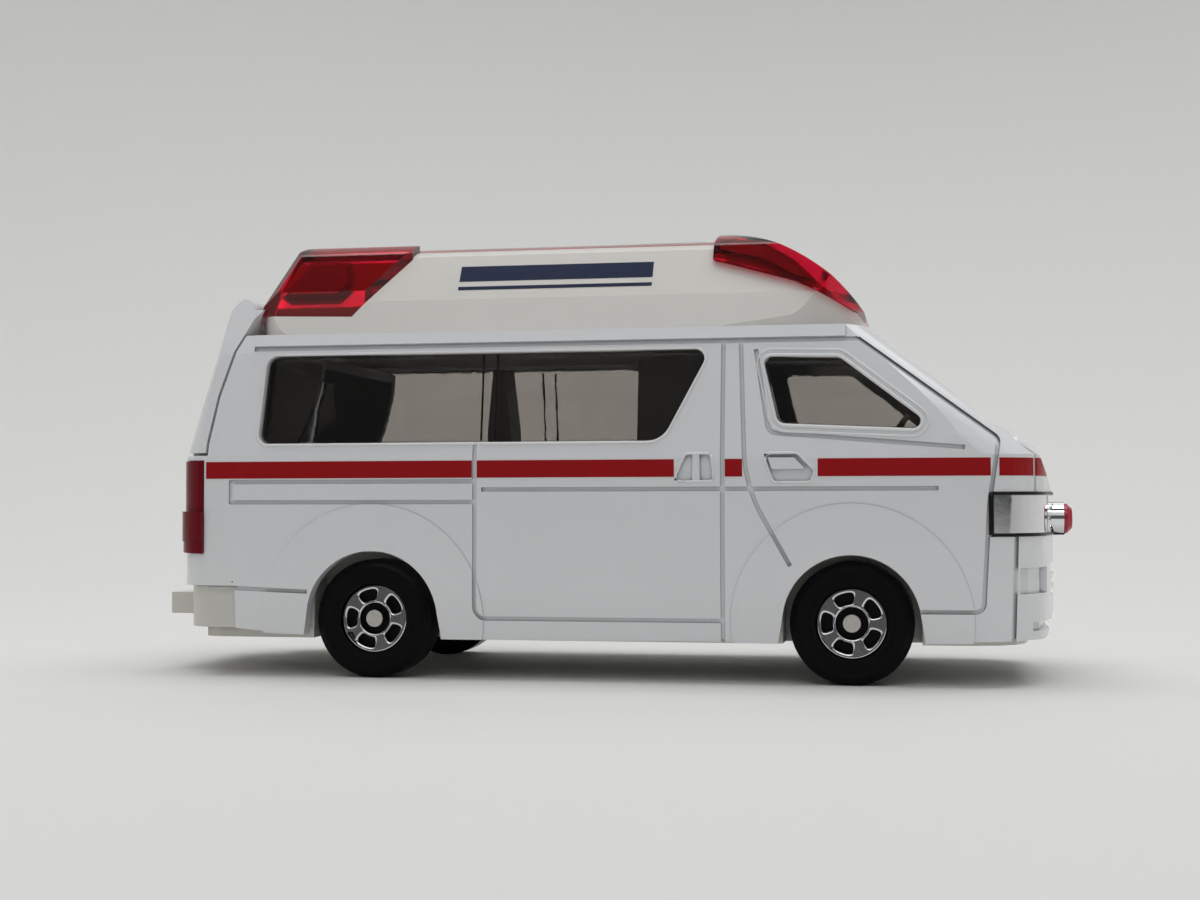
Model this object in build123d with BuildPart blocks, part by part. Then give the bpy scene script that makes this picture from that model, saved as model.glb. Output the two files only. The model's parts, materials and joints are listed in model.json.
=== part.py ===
"""Die-cast toy ambulance: a high-roof van about 80 mm long, in millimetres.

+X is forward, +Z is up, and the origin lies on the floor under the middle of the part.
"""

import os

from build123d import *

os.makedirs("parts", exist_ok=True)

# ---------------------------------------------------------------- running gear
WHEELBASE = 40.5
FRONT_AXLE_X = 21.4
REAR_AXLE_X = FRONT_AXLE_X - WHEELBASE
WHEEL_R = 5.05
TYRE_W = 3.4
TREAD_ROUND = 0.55
AXLE_R = 0.72
AXLE_RUNNING = 0.05
AXLE_SINK = 0.25
HUB_R = 2.93
HUB_T = 0.8
HUB_RECESS = 0.3
HUB_FIT = 0.02
HUB_EYE_R = 1.27
SLOT_COUNT = 5
SLOT_IN_R = 1.55
SLOT_OUT_R = 2.4
SPOKE_W = 0.85
WELL_GAP = 0.6
WELL_WALL = 0.8
WELL_SIDE_GAP = 0.6

# ---------------------------------------------------------------- body casting
HALF_W = 14.0
WALL = 1.1
FRONT_OVERHANG = 16.75
REAR_OVERHANG = 18.3
NOSE_X = FRONT_AXLE_X + FRONT_OVERHANG
TAIL_X = REAR_AXLE_X - REAR_OVERHANG
SILL_Z = 3.4
BELT_Z = 18.8
SPLIT_Z = 29.6
HULL_TOP_Z = 33.4
FRONT_LEAN = 19.4
REAR_LEAN = 4.6
REAR_SKIRT_Z = 7.8
REAR_SKIRT_X = TAIL_X + 6.0
SEAT = 0.1
TYRE_OUT_Y = HALF_W - 0.7
TYRE_IN_Y = TYRE_OUT_Y - TYRE_W
WELL_IN_Y = TYRE_IN_Y - WELL_GAP
WELL_TOP_Z = 2 * WHEEL_R + WELL_GAP
FRONT_ARCH_R = 5.6
REAR_ARCH_R = 5.8
ARCH_SPREAD = 0.9
FLARE_R = 9.8
FLARE_PROUD = 0.15
GUTTER_PROUD = 0.22
GUTTER_H = 1.0
GUTTER_REAR_X = TAIL_X + 7.2
GUTTER_FRONT_X = FRONT_AXLE_X - 0.4
GROOVE_W = 0.36
GROOVE_DEPTH = 0.2
DOOR_REAR_X = REAR_AXLE_X + 9.05
DOOR_FRONT_X = FRONT_AXLE_X - 10.45
HANDLE_DEPTH = 0.4
BUMPER_POCKET_DEPTH = 0.45

# ---------------------------------------------------------------- roof moulding and lamps
ROOF_CROWN_Z = 38.3
ROOF_WALL = 1.6
ROOF_HALF_W = HALF_W - 2.0
ROOF_REAR_X = TAIL_X + 6.55
ROOF_FRONT_X = NOSE_X - 15.4
ROOF_FLANGE = 1.5
LIP_DROP = 1.5
LIP_T = 0.9
LAMP_DEPTH = 0.8
LAMP_FIT = 0.05
FRONT_LAMP_PROUD = 0.5
REAR_LAMP_PROUD = 0.5
FRONT_LAMP_X = NOSE_X - 28.4
STRIP_IN_Y = 1.5
STRIP_OUT_Y = 6.9
REAR_LAMP_IN_Y = 6.0

# ---------------------------------------------------------------- tailgate
GATE_DEPTH = 2.9
GATE_GAP = 0.25
GATE_SKIN = 1.1
GATE_HALF_W = 10.3
GATE_FOOT_Z = 8.6
GATE_RIM = 1.6
GATE_TOP_R = 1.0
GATE_ROOF_GAP = 0.5
HINGE_X = TAIL_X + 5.9
HINGE_Z = HULL_TOP_Z - 1.5
HINGE_PIN_R = 0.45
HINGE_RUNNING = 0.05
HINGE_EYE_R = 0.9
HINGE_Y = 5.0
EAR_W = 0.9
EAR_SIDE_GAP = 0.2

# ---------------------------------------------------------------- glazing
GLASS_T = 0.6
GLASS_SINK = 0.45
GLASS_EDGE = 0.12
WINDOW_LOW_Z = BELT_Z + 1.25
WINDOW_TOP_Z = SPLIT_Z - 1.9

# ---------------------------------------------------------------- lamps on the body
HEADLAMP_LOW_Z = 12.2
HEADLAMP_TOP_Z = 15.7
HEADLAMP_REAR_X = NOSE_X - 5.7
INSET_DEPTH = 0.5
GRILLE_ROWS = 4
GRILLE_PITCH = 0.8
GRILLE_SLOT_H = 0.35
GRILLE_HALF_W = 7.6
FLASHER_Y = 4.0
FLASHER_Z = 13.5
FLASHER_R = 1.25
FLASHER_L = 0.7
POD_R = 1.4
POD_L = 0.65
TAIL_LAMP_LOW_Z = 10.6
TAIL_LAMP_TOP_Z = 18.6
TAIL_LAMP_L = 2.8
# Sections of each tail lamp: z from, z to, and how far the section stands proud.
TAIL_LAMP_SECTIONS = [
    (TAIL_LAMP_LOW_Z, 11.6, 0.3),
    (11.6, 14.2, 0.4),
    (14.2, TAIL_LAMP_TOP_Z, 0.1),
]

# ---------------------------------------------------------------- chassis and interior
CHASSIS_LOW_Z = 3.0
CHASSIS_T = 1.25
RELIEF = 0.3
BOSS_RIM = 0.6
BUMPER_INSET = 0.6
BUMPER_LOW_Z = 4.2
STEP_L = 2.45
STEP_HALF_W = 8.0
STEP_LOW_Z = 5.0
STEP_T = 1.9
SADDLE_W = 1.6
SADDLE_L = 3.4
FLOOR_Z = 6.9
FLOOR_T = 0.8
POST_R = 1.5
POST_FIT = 0.1
RIVET_HEAD_R = 2.2
RIVET_HEAD_T = 0.5
RIVET_SINK = 0.05
FRONT_POST_X = NOSE_X - 4.4
REAR_POST_X = REAR_SKIRT_X - 1.6
SEAT_W = 8.6
SEAT_BACK_X = FRONT_AXLE_X - 8.2
CABIN_GAP = 0.35
OPENING_HALF_W = 8.4
TRIM_T = 0.8
DASH_HALF_W = 9.4
STEER_R = 1.9
STEER_RIM = 0.4
STEER_Y = -6.4


def outline(draw, plane, inset):
    """A closed face drawn on a plane, its edge moved inwards by the inset."""
    with BuildSketch(plane) as face:
        with BuildLine():
            draw()
        make_face()
        if inset:
            offset(amount=-inset)
    return face.sketch


def block(low, high):
    """A plain box between two corners."""
    with BuildPart(Plane(low)) as made:
        size = [b - a for a, b in zip(low, high)]
        Box(*size, align=(Align.MIN, Align.MIN, Align.MIN))
    return made.part


def chords(curve, count):
    """Evenly spaced points along a curve, without its end."""
    return [curve @ (i / count) for i in range(count)]


# ================================================================ outer form of the body
# Side view from windscreen to tail. Columns: x, z, corner radius.
SIDE_PROFILE = [
    (NOSE_X - 19.8, HULL_TOP_Z, 0),
    (NOSE_X - 5.5, BELT_Z + 2.6, 8),
    (NOSE_X - 2.1, BELT_Z + 1.0, 2.2),
    (NOSE_X - 0.05, BELT_Z - 3.8, 3.0),
    (NOSE_X, SILL_Z + 3.2, 2.0),
    (NOSE_X - 1.0, SILL_Z + 0.4, 0.5),
    (FRONT_AXLE_X - 6.4, SILL_Z + 0.1, 0),
    (REAR_AXLE_X + 6.8, SILL_Z, 0),
    (REAR_AXLE_X - 9.3, SILL_Z + 0.5, 0),
    (TAIL_X, SILL_Z + 1.3, 0),
    (TAIL_X + 0.1, BELT_Z - 2.8, 0),
]

# Half of the cross-section, from the middle of the floor to the middle of the top.
# Columns: y, z, corner radius.
HALF_SECTION = [
    (0, SILL_Z - 1.4, 0),
    (HALF_W - 0.5, SILL_Z - 1.4, 0),
    (HALF_W - 0.02, SILL_Z + 3.9, 20),
    (HALF_W - 0.05, BELT_Z - 0.2, 2),
    (HALF_W - 1.4, SPLIT_Z - 1.6, 0),
    (HALF_W - 2.6, HULL_TOP_Z, 0),
    (0, HULL_TOP_Z, 0),
]


def chain(table, soft):
    """Line through a table of points, its corners rounded where the form is soft."""
    points = [(a, b) for a, b, radius in table]
    if soft:
        return FilletPolyline(points, radius=[radius for a, b, radius in table[1:-1]])
    return Polyline(points)


def side_lines(soft=True):
    """Side view of casting and tailgate together: windscreen, bonnet, nose, sills and tail."""
    mode = Mode.ADD if soft else Mode.PRIVATE
    front = chain(SIDE_PROFILE, soft)
    tail = TangentArc(front @ 1, (TAIL_X + 2.4, SPLIT_Z - 1.4), tangent=front % 1, mode=mode)
    brow = TangentArc(tail @ 1, (TAIL_X + 6.4, HULL_TOP_Z), tangent=tail % 1, mode=mode)
    if soft:
        Line(brow @ 1, front @ 0)
    else:
        Polyline(*chords(tail, 3), *chords(brow, 2), brow @ 1, front @ 0)


def section_lines(soft=True):
    """Cross-section: turned-under sill, upright side, belt crease and leaning windows."""
    mirror(chain(HALF_SECTION, soft), about=Plane.YZ)


def plan_lines(nose_x, tail_x, half_w=HALF_W, soft=True):
    """Plan view at one height: bowed nose, round corners, straight sides and bowed tail."""
    mode = Mode.ADD if soft else Mode.PRIVATE
    nose_y = half_w - 4.5
    tail_y = half_w - 3.4
    nose = ThreePointArc(
        (nose_x, 0), (nose_x - 0.31, nose_y / 2), (nose_x - 1.25, nose_y), mode=mode
    )
    corner = TangentArc(nose @ 1, (nose_x - 6.25, half_w - 0.3), tangent=nose % 1, mode=mode)
    flank = Line(corner @ 1, (nose_x - 12.6, half_w), mode=mode)
    side = Line(flank @ 1, (tail_x + 3.8, half_w), mode=mode)
    turn = TangentArc(side @ 1, (tail_x + 0.45, tail_y), tangent=side % 1, mode=mode)
    tail = ThreePointArc(turn @ 1, (tail_x + 0.12, tail_y / 2), (tail_x, 0), mode=mode)
    half = [nose, corner, flank, side, turn, tail]
    if not soft:
        front = [*chords(nose, 1), *chords(corner, 3), flank @ 0, side @ 0]
        half = Polyline(*front, *chords(turn, 2), tail @ 0, tail @ 1)
    mirror(half, about=Plane.XZ)


def leaning_prism(nose_x, tail_x, lean_x, inset, soft):
    """Prism on the plan outline, upright to the belt, then leaning by lean_x up to the top."""
    with BuildPart() as prism:
        for low_z, high_z, lean in ((SILL_Z - 1.4, BELT_Z, 0), (BELT_Z, HULL_TOP_Z, lean_x)):
            plane = Plane.XY.offset(low_z)
            foot = outline(lambda: plan_lines(nose_x, tail_x, soft=soft), plane, inset)
            rise = Vector(lean, 0, high_z - low_z)
            extrude(foot, amount=rise.length, dir=rise.normalized())
    return prism.part


def plan_form(inset, soft):
    """Corners that lean with the windscreen at the front and with the tailgate behind."""
    far = 2 * NOSE_X
    front = leaning_prism(NOSE_X, TAIL_X - far, -FRONT_LEAN, inset, soft)
    return front & leaning_prism(NOSE_X + far, TAIL_X, REAR_LEAN, inset, soft)


def body_hull(inset=0.0, top=SPLIT_Z, soft=True):
    """The van's closed outer form below the roof, shrunk by the inset.

    Faces that nobody sees are made angular instead of soft, with the same sizes.
    """
    with BuildPart() as hull:
        side = outline(lambda: side_lines(soft), Plane.XZ, inset)
        extrude(side, amount=2 * HALF_W, both=True)
        section = outline(lambda: section_lines(soft), Plane.YZ, inset)
        extrude(section, amount=2 * NOSE_X, both=True, mode=Mode.INTERSECT)
        add(plan_form(inset, soft), mode=Mode.INTERSECT)
        split(bisect_by=Plane.XY.offset(top - inset), keep=Keep.BOTTOM)
    return hull.part


# ================================================================ outer form of the roof
def roof_side_lines(soft=True):
    """Side view of the roof: raked rear, nearly level top and long round brow."""
    mode = Mode.ADD if soft else Mode.PRIVATE
    top = chain(
        [
            (ROOF_REAR_X, SPLIT_Z, 0),
            (ROOF_REAR_X + 3.35, ROOF_CROWN_Z - 0.5, 1.4),
            (ROOF_FRONT_X - 16.1, ROOF_CROWN_Z, 0),
        ],
        soft,
    )
    brow = TangentArc(top @ 1, (ROOF_FRONT_X, SPLIT_Z), tangent=top % 1, mode=mode)
    if soft:
        Line(brow @ 1, top @ 0)
    else:
        Polyline(*chords(brow, 4), brow @ 1, top @ 0)


def roof_section_lines(soft=True):
    """Cross-section of the roof: upright skirt, crease, leaning side and crowned top."""
    mode = Mode.ADD if soft else Mode.PRIVATE
    side = Polyline(
        (0, SPLIT_Z),
        (ROOF_HALF_W, SPLIT_Z),
        (ROOF_HALF_W - 0.95, SPLIT_Z + 2.9),
        (ROOF_HALF_W - 3.5, ROOF_CROWN_Z - 1.7),
    )
    crown = ThreePointArc(
        side @ 1, (0, ROOF_CROWN_Z), (3.5 - ROOF_HALF_W, ROOF_CROWN_Z - 1.7), mode=mode
    )
    if not soft:
        Polyline(*chords(crown, 4), crown @ 1)
    mirror(side, about=Plane.YZ)


def roof_plan(inset, low_z, soft=True):
    """The roof's outline in plan at one height."""
    return outline(
        lambda: plan_lines(ROOF_FRONT_X, ROOF_REAR_X, ROOF_HALF_W, soft),
        Plane.XY.offset(low_z),
        inset,
    )


def roof_hull(inset=0.0, soft=True):
    """The closed outer form of the roof, shrunk by the inset, its foot on the split."""
    with BuildPart() as hull:
        side = outline(lambda: roof_side_lines(soft), Plane.XZ, inset)
        extrude(side, amount=2 * HALF_W, both=True)
        section = outline(lambda: roof_section_lines(soft), Plane.YZ, inset)
        extrude(section, amount=2 * NOSE_X, both=True, mode=Mode.INTERSECT)
        extrude(roof_plan(inset, SPLIT_Z - 2, soft), amount=2 * ROOF_HALF_W, mode=Mode.INTERSECT)
    return hull.part


def roof_footprint(inset, low_z, high_z):
    """An upright prism on the roof's plan outline."""
    with BuildPart() as prism:
        extrude(roof_plan(inset, low_z, soft=False), amount=high_z - low_z)
    return prism.part


def front_lamp_zone(grow):
    """Space of the front beacon, cut off below by a line that follows the brow."""
    with BuildPart() as zone:
        with BuildSketch(Plane.XZ):
            Polygon(
                (FRONT_LAMP_X - grow, ROOF_CROWN_Z + 3),
                (FRONT_LAMP_X - grow, ROOF_CROWN_Z - 2.7 - grow),
                (FRONT_LAMP_X + 7, ROOF_CROWN_Z - 4.8 - grow),
                (ROOF_FRONT_X - 1.3, SPLIT_Z + 1.5 - grow),
                (ROOF_FRONT_X + 6, SPLIT_Z + 1.5 - grow),
                (ROOF_FRONT_X + 6, ROOF_CROWN_Z + 3),
                align=None,
            )
        extrude(amount=2 * HALF_W, both=True)
    return zone.part


def rear_lamp_zone(grow):
    """Space of both rear corner beacons: a leaning four-sided block on each side."""
    with BuildPart() as zone:
        with BuildSketch(Plane.XZ):
            Polygon(
                (ROOF_REAR_X - 3, SPLIT_Z + 1.9 - grow),
                (ROOF_REAR_X + 9.1 + grow, SPLIT_Z + 1.6 - grow),
                (ROOF_REAR_X + 13.8 + grow, ROOF_CROWN_Z - 1.9),
                (ROOF_REAR_X + 13.4 + grow, ROOF_CROWN_Z + 3),
                (ROOF_REAR_X - 3, ROOF_CROWN_Z + 3),
                align=None,
            )
        extrude(amount=2 * HALF_W, both=True)
        middle = REAR_LAMP_IN_Y - grow
        with BuildSketch(Plane.XY.offset(SPLIT_Z)):
            Rectangle(4 * HALF_W + 4 * NOSE_X, 2 * middle)
        extrude(amount=3 * HALF_W, mode=Mode.SUBTRACT)
    return zone.part


def strip_zone(grow):
    """Space of the two clear strips that run along the roof's top between the beacons."""
    with BuildPart() as zone:
        length = FRONT_LAMP_X - ROOF_REAR_X - 3.0
        centre_x = FRONT_LAMP_X + 0.5 - length / 2
        centre_y = (STRIP_IN_Y + STRIP_OUT_Y) / 2
        with BuildSketch(Plane.XY.offset(ROOF_CROWN_Z - 3)):
            with Locations((centre_x, centre_y), (centre_x, -centre_y)):
                Rectangle(length + 1 + 2 * grow, STRIP_OUT_Y - STRIP_IN_Y + 2 * grow)
        extrude(amount=6)
    return zone.part


# Cuts that give the rear beacons their slanting corners: a point and the way each cut faces.
BEACON_CUTS = [
    ((ROOF_REAR_X + 0.47, 0, SPLIT_Z + 1.75), (-0.93, 0, 0.38)),
    ((ROOF_REAR_X + 2.35, -9.6, ROOF_CROWN_Z - 3.3), (-0.93, -0.85, 0.91)),
    ((ROOF_REAR_X + 11.3, -10.2, ROOF_CROWN_Z - 4.1), (0.74, -0.85, -0.14)),
    ((ROOF_REAR_X + 4.0, -10.95, SPLIT_Z + 3.1), (0, -1.0, -0.12)),
]


def rear_beacons():
    """The two rear corner beacons, each cut like a gem along its outer edges."""
    with BuildPart() as beacons:
        add(rear_lamp_zone(0) & roof_hull(-REAR_LAMP_PROUD))
        for side in (-1, 1):
            for (x, y, z), (across_x, across_y, up) in BEACON_CUTS:
                facet = Plane(origin=(x, -side * y, z), z_dir=(across_x, -side * across_y, up))
                split(bisect_by=facet, keep=Keep.BOTTOM)
    return beacons.part


# ================================================================ shared cutters
def gate_zone(grow):
    """Space of the tailgate: wide above the belt, narrow between the tail lamps below it."""
    with BuildPart() as zone:
        low = (TAIL_X - 5, -2 * HALF_W, GATE_FOOT_Z - grow)
        high = (TAIL_X + 20, 2 * HALF_W, HULL_TOP_Z + 1)
        add(block(low, high))
        with BuildSketch(Plane.XZ):
            face = outline(lambda: side_lines(soft=False), Plane.XZ, 0)
            add(face.moved(Location((GATE_DEPTH + grow, 0, 0))))
        extrude(amount=3 * HALF_W, both=True, mode=Mode.SUBTRACT)
        for near, far in ((GATE_HALF_W + grow, 3 * HALF_W), (-3 * HALF_W, -GATE_HALF_W - grow)):
            corner = block((TAIL_X - 6, near, 0), (TAIL_X + 21, far, BELT_Z + 0.5 - grow))
            add(corner, mode=Mode.SUBTRACT)
    return zone.part


def arch_cutter(axle_x, radius):
    """Round wheel opening with legs that spread a little towards the ground."""
    with BuildPart() as cutter:
        with BuildSketch(Plane.XZ):
            with Locations((axle_x, WHEEL_R)):
                Circle(radius)
            foot = radius + ARCH_SPREAD
            Polygon(
                (axle_x - radius * 0.97, WHEEL_R + 1.4),
                (axle_x - foot, 0),
                (axle_x + foot, 0),
                (axle_x + radius * 0.97, WHEEL_R + 1.4),
                align=None,
            )
        extrude(amount=2 * HALF_W, both=True)
    return cutter.part


SIDE_WINDOW = [
    (TAIL_X + 8.5, WINDOW_TOP_Z, 1.0),
    (FRONT_AXLE_X - 11.5, WINDOW_TOP_Z, 0.8),
    (FRONT_AXLE_X - 15.5, WINDOW_LOW_Z, 2.0),
    (TAIL_X + 8.0, WINDOW_LOW_Z, 0.8),
]
CAB_WINDOW = [
    (FRONT_AXLE_X - 7.2, WINDOW_TOP_Z - 0.7, 0.6),
    (FRONT_AXLE_X - 0.9, WINDOW_TOP_Z - 0.85, 1.0),
    (FRONT_AXLE_X + 6.9, WINDOW_LOW_Z + 0.75, 0.6),
    (FRONT_AXLE_X - 5.9, WINDOW_LOW_Z + 1.35, 0.8),
]


def window_prism(corners, shrink):
    """Prism through both sides on a window's rounded outline, made smaller by shrink."""
    with BuildPart() as prism:
        with BuildSketch(Plane.XZ) as face:
            with BuildLine():
                FilletPolyline(
                    [(x, z) for x, z, r in corners],
                    radius=[r for x, z, r in corners],
                    close=True,
                )
            make_face()
            if shrink:
                offset(amount=-shrink)
        extrude(amount=2 * HALF_W, both=True)
        with BuildSketch(Plane.XY):
            Rectangle(6 * NOSE_X, HALF_W)
        extrude(amount=2 * HULL_TOP_Z, mode=Mode.SUBTRACT)
    return prism.part


SCREEN_PLANE = Plane(
    origin=(NOSE_X - 10.1, 0, BELT_Z + 6.4), x_dir=(0, 1, 0), z_dir=(0.64, 0, 0.77)
)
SCREEN_LOW_W = 20.4
SCREEN_TOP_W = 17.6
SCREEN_H = 9.4


def screen_prism(shrink):
    """Prism through the windscreen, square to the glass."""
    with BuildPart() as prism:
        with BuildSketch(SCREEN_PLANE) as face:
            with BuildLine():
                FilletPolyline(
                    (-SCREEN_LOW_W / 2, -SCREEN_H / 2),
                    (SCREEN_LOW_W / 2, -SCREEN_H / 2),
                    (SCREEN_TOP_W / 2, SCREEN_H / 2),
                    (-SCREEN_TOP_W / 2, SCREEN_H / 2),
                    radius=1.2,
                    close=True,
                )
            make_face()
            if shrink:
                offset(amount=-shrink)
        extrude(amount=3, both=True)
    return prism.part


GATE_WINDOW = [
    (-8.6, WINDOW_TOP_Z, 1.2),
    (8.6, WINDOW_TOP_Z, 1.2),
    (9.3, WINDOW_LOW_Z + 0.6, 1.2),
    (-9.3, WINDOW_LOW_Z + 0.6, 1.2),
]


def gate_window_prism(shrink):
    """Prism through the tailgate's window, along the van."""
    with BuildPart() as prism:
        with BuildSketch(Plane.YZ.offset(TAIL_X - 3)):
            with BuildLine():
                FilletPolyline(
                    [(y, z) for y, z, r in GATE_WINDOW],
                    radius=[r for y, z, r in GATE_WINDOW],
                    close=True,
                )
            make_face()
            if shrink:
                offset(amount=-shrink)
        extrude(amount=12)
    return prism.part


def headlamp_band(grow):
    """Space of the chrome lamp and grille band wrapped round the nose."""
    return block(
        (HEADLAMP_REAR_X - grow, -2 * HALF_W, HEADLAMP_LOW_Z - grow),
        (NOSE_X + 5, 2 * HALF_W, HEADLAMP_TOP_Z + grow),
    )


def grille_slots():
    """Level slots between the headlamps and an upright slot beside each lamp."""
    with BuildPart() as slots:
        rows = [HEADLAMP_LOW_Z + GRILLE_PITCH * (row + 0.5) for row in range(GRILLE_ROWS)]
        for low_z in rows:
            low = (NOSE_X - 4, -GRILLE_HALF_W, low_z)
            add(block(low, (NOSE_X + 2, GRILLE_HALF_W, low_z + GRILLE_SLOT_H)))
        for side in (-1, 1):
            edge_y = side * (GRILLE_HALF_W + 0.5)
            low = (NOSE_X - 4, edge_y - GROOVE_W / 2, 0)
            add(block(low, (NOSE_X + 2, edge_y + GROOVE_W / 2, 2 * HEADLAMP_TOP_Z)))
    return slots.part - body_hull(GROOVE_DEPTH, soft=False)


def tail_lamp_zone(grow):
    """Space of the tail lamps: upright blocks on the rear corners, beside the tailgate."""
    with BuildPart() as zone:
        low_y = GATE_HALF_W + 2 * GATE_GAP - grow
        length = TAIL_LAMP_L + grow
        with BuildSketch(Plane.XY.offset(TAIL_LAMP_LOW_Z - grow)):
            with Locations((TAIL_X - 3 + (length + 3) / 2 + 0.3, 0)):
                Rectangle(length + 3, 4 * HALF_W)
                Rectangle(length + 4, 2 * low_y, mode=Mode.SUBTRACT)
        extrude(amount=TAIL_LAMP_TOP_Z - TAIL_LAMP_LOW_Z + 2 * grow)
    return zone.part


def arch_flare(axle_x):
    """Low round swelling of the flanks about a wheel opening, ending at the sill."""
    with BuildPart() as flare:
        with BuildSketch(Plane.XZ):
            with Locations((axle_x, WHEEL_R)):
                Circle(FLARE_R)
            with Locations((axle_x, SILL_Z)):
                Rectangle(3 * FLARE_R, FLARE_R, align=(Align.CENTER, Align.MAX), mode=Mode.SUBTRACT)
        extrude(amount=2 * HALF_W, both=True)
    return flare.part


# Engraved lines of the flanks, each as a corner radius and its points in side view.
FLANK_LINES = [
    # sliding door: rear edge and foot, then front edge
    (1.0, [(DOOR_REAR_X, WINDOW_LOW_Z), (DOOR_REAR_X, SILL_Z + 1.8), (DOOR_FRONT_X, SILL_Z + 1.8)]),
    (0, [(DOOR_FRONT_X, SPLIT_Z - 1.3), (DOOR_FRONT_X, 0)]),
    # cab door: rear edge, then pillar, front edge and foot
    (
        12,
        [
            (DOOR_FRONT_X + 1.45, SPLIT_Z - 1.3),
            (DOOR_FRONT_X + 1.9, BELT_Z - 2.6),
            (FRONT_AXLE_X - 4.9, WHEEL_R + 4.7),
        ],
    ),
    (
        0.7,
        [
            (FRONT_AXLE_X + 0.6, SPLIT_Z - 1.2),
            (FRONT_AXLE_X + 11.8, BELT_Z + 1.3),
            (FRONT_AXLE_X + 11.0, BELT_Z - 4.0),
            (FRONT_AXLE_X + 10.5, SILL_Z + 2.7),
            (FRONT_AXLE_X + 5.0, SILL_Z + 2.7),
        ],
    ),
    # frame round the cab window
    (
        0.8,
        [
            (FRONT_AXLE_X - 7.75, WINDOW_TOP_Z - 0.1),
            (FRONT_AXLE_X - 6.65, WINDOW_LOW_Z + 0.6),
            (FRONT_AXLE_X + 9.1, BELT_Z + 0.55),
        ],
    ),
    # crease behind the rear wheel
    (0, [(REAR_SKIRT_X, REAR_SKIRT_Z - 0.2), (REAR_AXLE_X - 5.7, REAR_SKIRT_Z - 0.45)]),
    # rail behind the sliding door, crease ahead of it, and the bumper's edge
    (0, [(DOOR_REAR_X, BELT_Z - 2.05), (TAIL_X + 5.6, BELT_Z - 2.05)]),
    (0, [(DOOR_REAR_X, BELT_Z - 3.8), (TAIL_X + 5.6, BELT_Z - 3.8)]),
    (0, [(TAIL_X + 5.6, BELT_Z - 3.94), (TAIL_X + 5.6, BELT_Z - 1.91)]),
    (0, [(DOOR_REAR_X + 0.6, BELT_Z - 2.75), (FRONT_AXLE_X + 7.0, BELT_Z - 2.75)]),
    (0, [(NOSE_X - 3.9, SILL_Z), (NOSE_X - 3.6, HEADLAMP_LOW_Z)]),
    # gutter under the roof's edge
    (0, [(GUTTER_REAR_X, SPLIT_Z - 1.25), (FRONT_AXLE_X + 0.6, SPLIT_Z - 1.25)]),
]

BONNET_HALF_W = HALF_W - 2.8


def flank_grooves():
    """Slots through both flanks along every engraved line."""
    with BuildPart() as slots:
        for radius, points in FLANK_LINES:
            with BuildSketch(Plane.XZ):
                with BuildLine():
                    if radius:
                        FilletPolyline(points, radius=radius)
                    else:
                        Polyline(points)
                trace(line_width=GROOVE_W)
            extrude(amount=2 * HALF_W, both=True)
    return slots.part


def bonnet_groove():
    """Slot along the bonnet's edge, seen from the front."""
    with BuildPart() as slot:
        with BuildSketch(Plane.YZ):
            with BuildLine():
                FilletPolyline(
                    (-BONNET_HALF_W, HEADLAMP_TOP_Z),
                    (-BONNET_HALF_W, BELT_Z + 1.7),
                    (BONNET_HALF_W, BELT_Z + 1.7),
                    (BONNET_HALF_W, HEADLAMP_TOP_Z),
                    radius=1.2,
                )
            trace(line_width=GROOVE_W)
        extrude(amount=2 * NOSE_X)
    return slot.part


# Handle recesses in side view: the hollow's corners, then those of the grip left in it.
SLIDE_HANDLE = (
    [
        (DOOR_FRONT_X - 4.0, BELT_Z - 2.05),
        (DOOR_FRONT_X - 3.0, BELT_Z + 0.1),
        (DOOR_FRONT_X - 1.0, BELT_Z + 0.1),
        (DOOR_FRONT_X - 0.75, BELT_Z - 2.05),
    ],
    [
        (DOOR_FRONT_X - 2.5, BELT_Z - 2.3),
        (DOOR_FRONT_X - 2.45, BELT_Z + 0.3),
        (DOOR_FRONT_X - 1.9, BELT_Z + 0.3),
        (DOOR_FRONT_X - 1.85, BELT_Z - 2.3),
    ],
)
CAB_HANDLE = (
    [
        (DOOR_FRONT_X + 4.2, BELT_Z - 2.15),
        (DOOR_FRONT_X + 3.4, BELT_Z + 0.1),
        (DOOR_FRONT_X + 6.1, BELT_Z + 0.1),
        (DOOR_FRONT_X + 7.5, BELT_Z - 1.3),
        (DOOR_FRONT_X + 7.2, BELT_Z - 2.15),
    ],
    [
        (DOOR_FRONT_X + 4.05, BELT_Z - 1.15),
        (DOOR_FRONT_X + 3.75, BELT_Z - 0.2),
        (DOOR_FRONT_X + 5.9, BELT_Z - 0.2),
        (DOOR_FRONT_X + 6.8, BELT_Z - 1.15),
    ],
)


def handle_hollows():
    """Both flanks' handle recesses, with the grips left standing."""
    with BuildPart() as hollows:
        for hollow, grip in (SLIDE_HANDLE, CAB_HANDLE):
            with BuildSketch(Plane.XZ):
                Polygon(*hollow, align=None)
                Polygon(*grip, align=None, mode=Mode.SUBTRACT)
            extrude(amount=2 * HALF_W, both=True)
    return hollows.part - body_hull(HANDLE_DEPTH, soft=False)


# Hollows in the front bumper, seen from the front: low and high corner of each (y, z).
BUMPER_POCKETS = [
    ((-12.6, 7.5), (-8.6, 9.6)),
    ((8.6, 7.5), (12.6, 9.6)),
    ((-6.6, 7.0), (6.6, 9.8)),
    ((-11.6, 4.5), (11.6, 5.2)),
]
INTAKE_BARS = [7.8, 8.7]
INTAKE_BAR_T = 0.3


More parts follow.
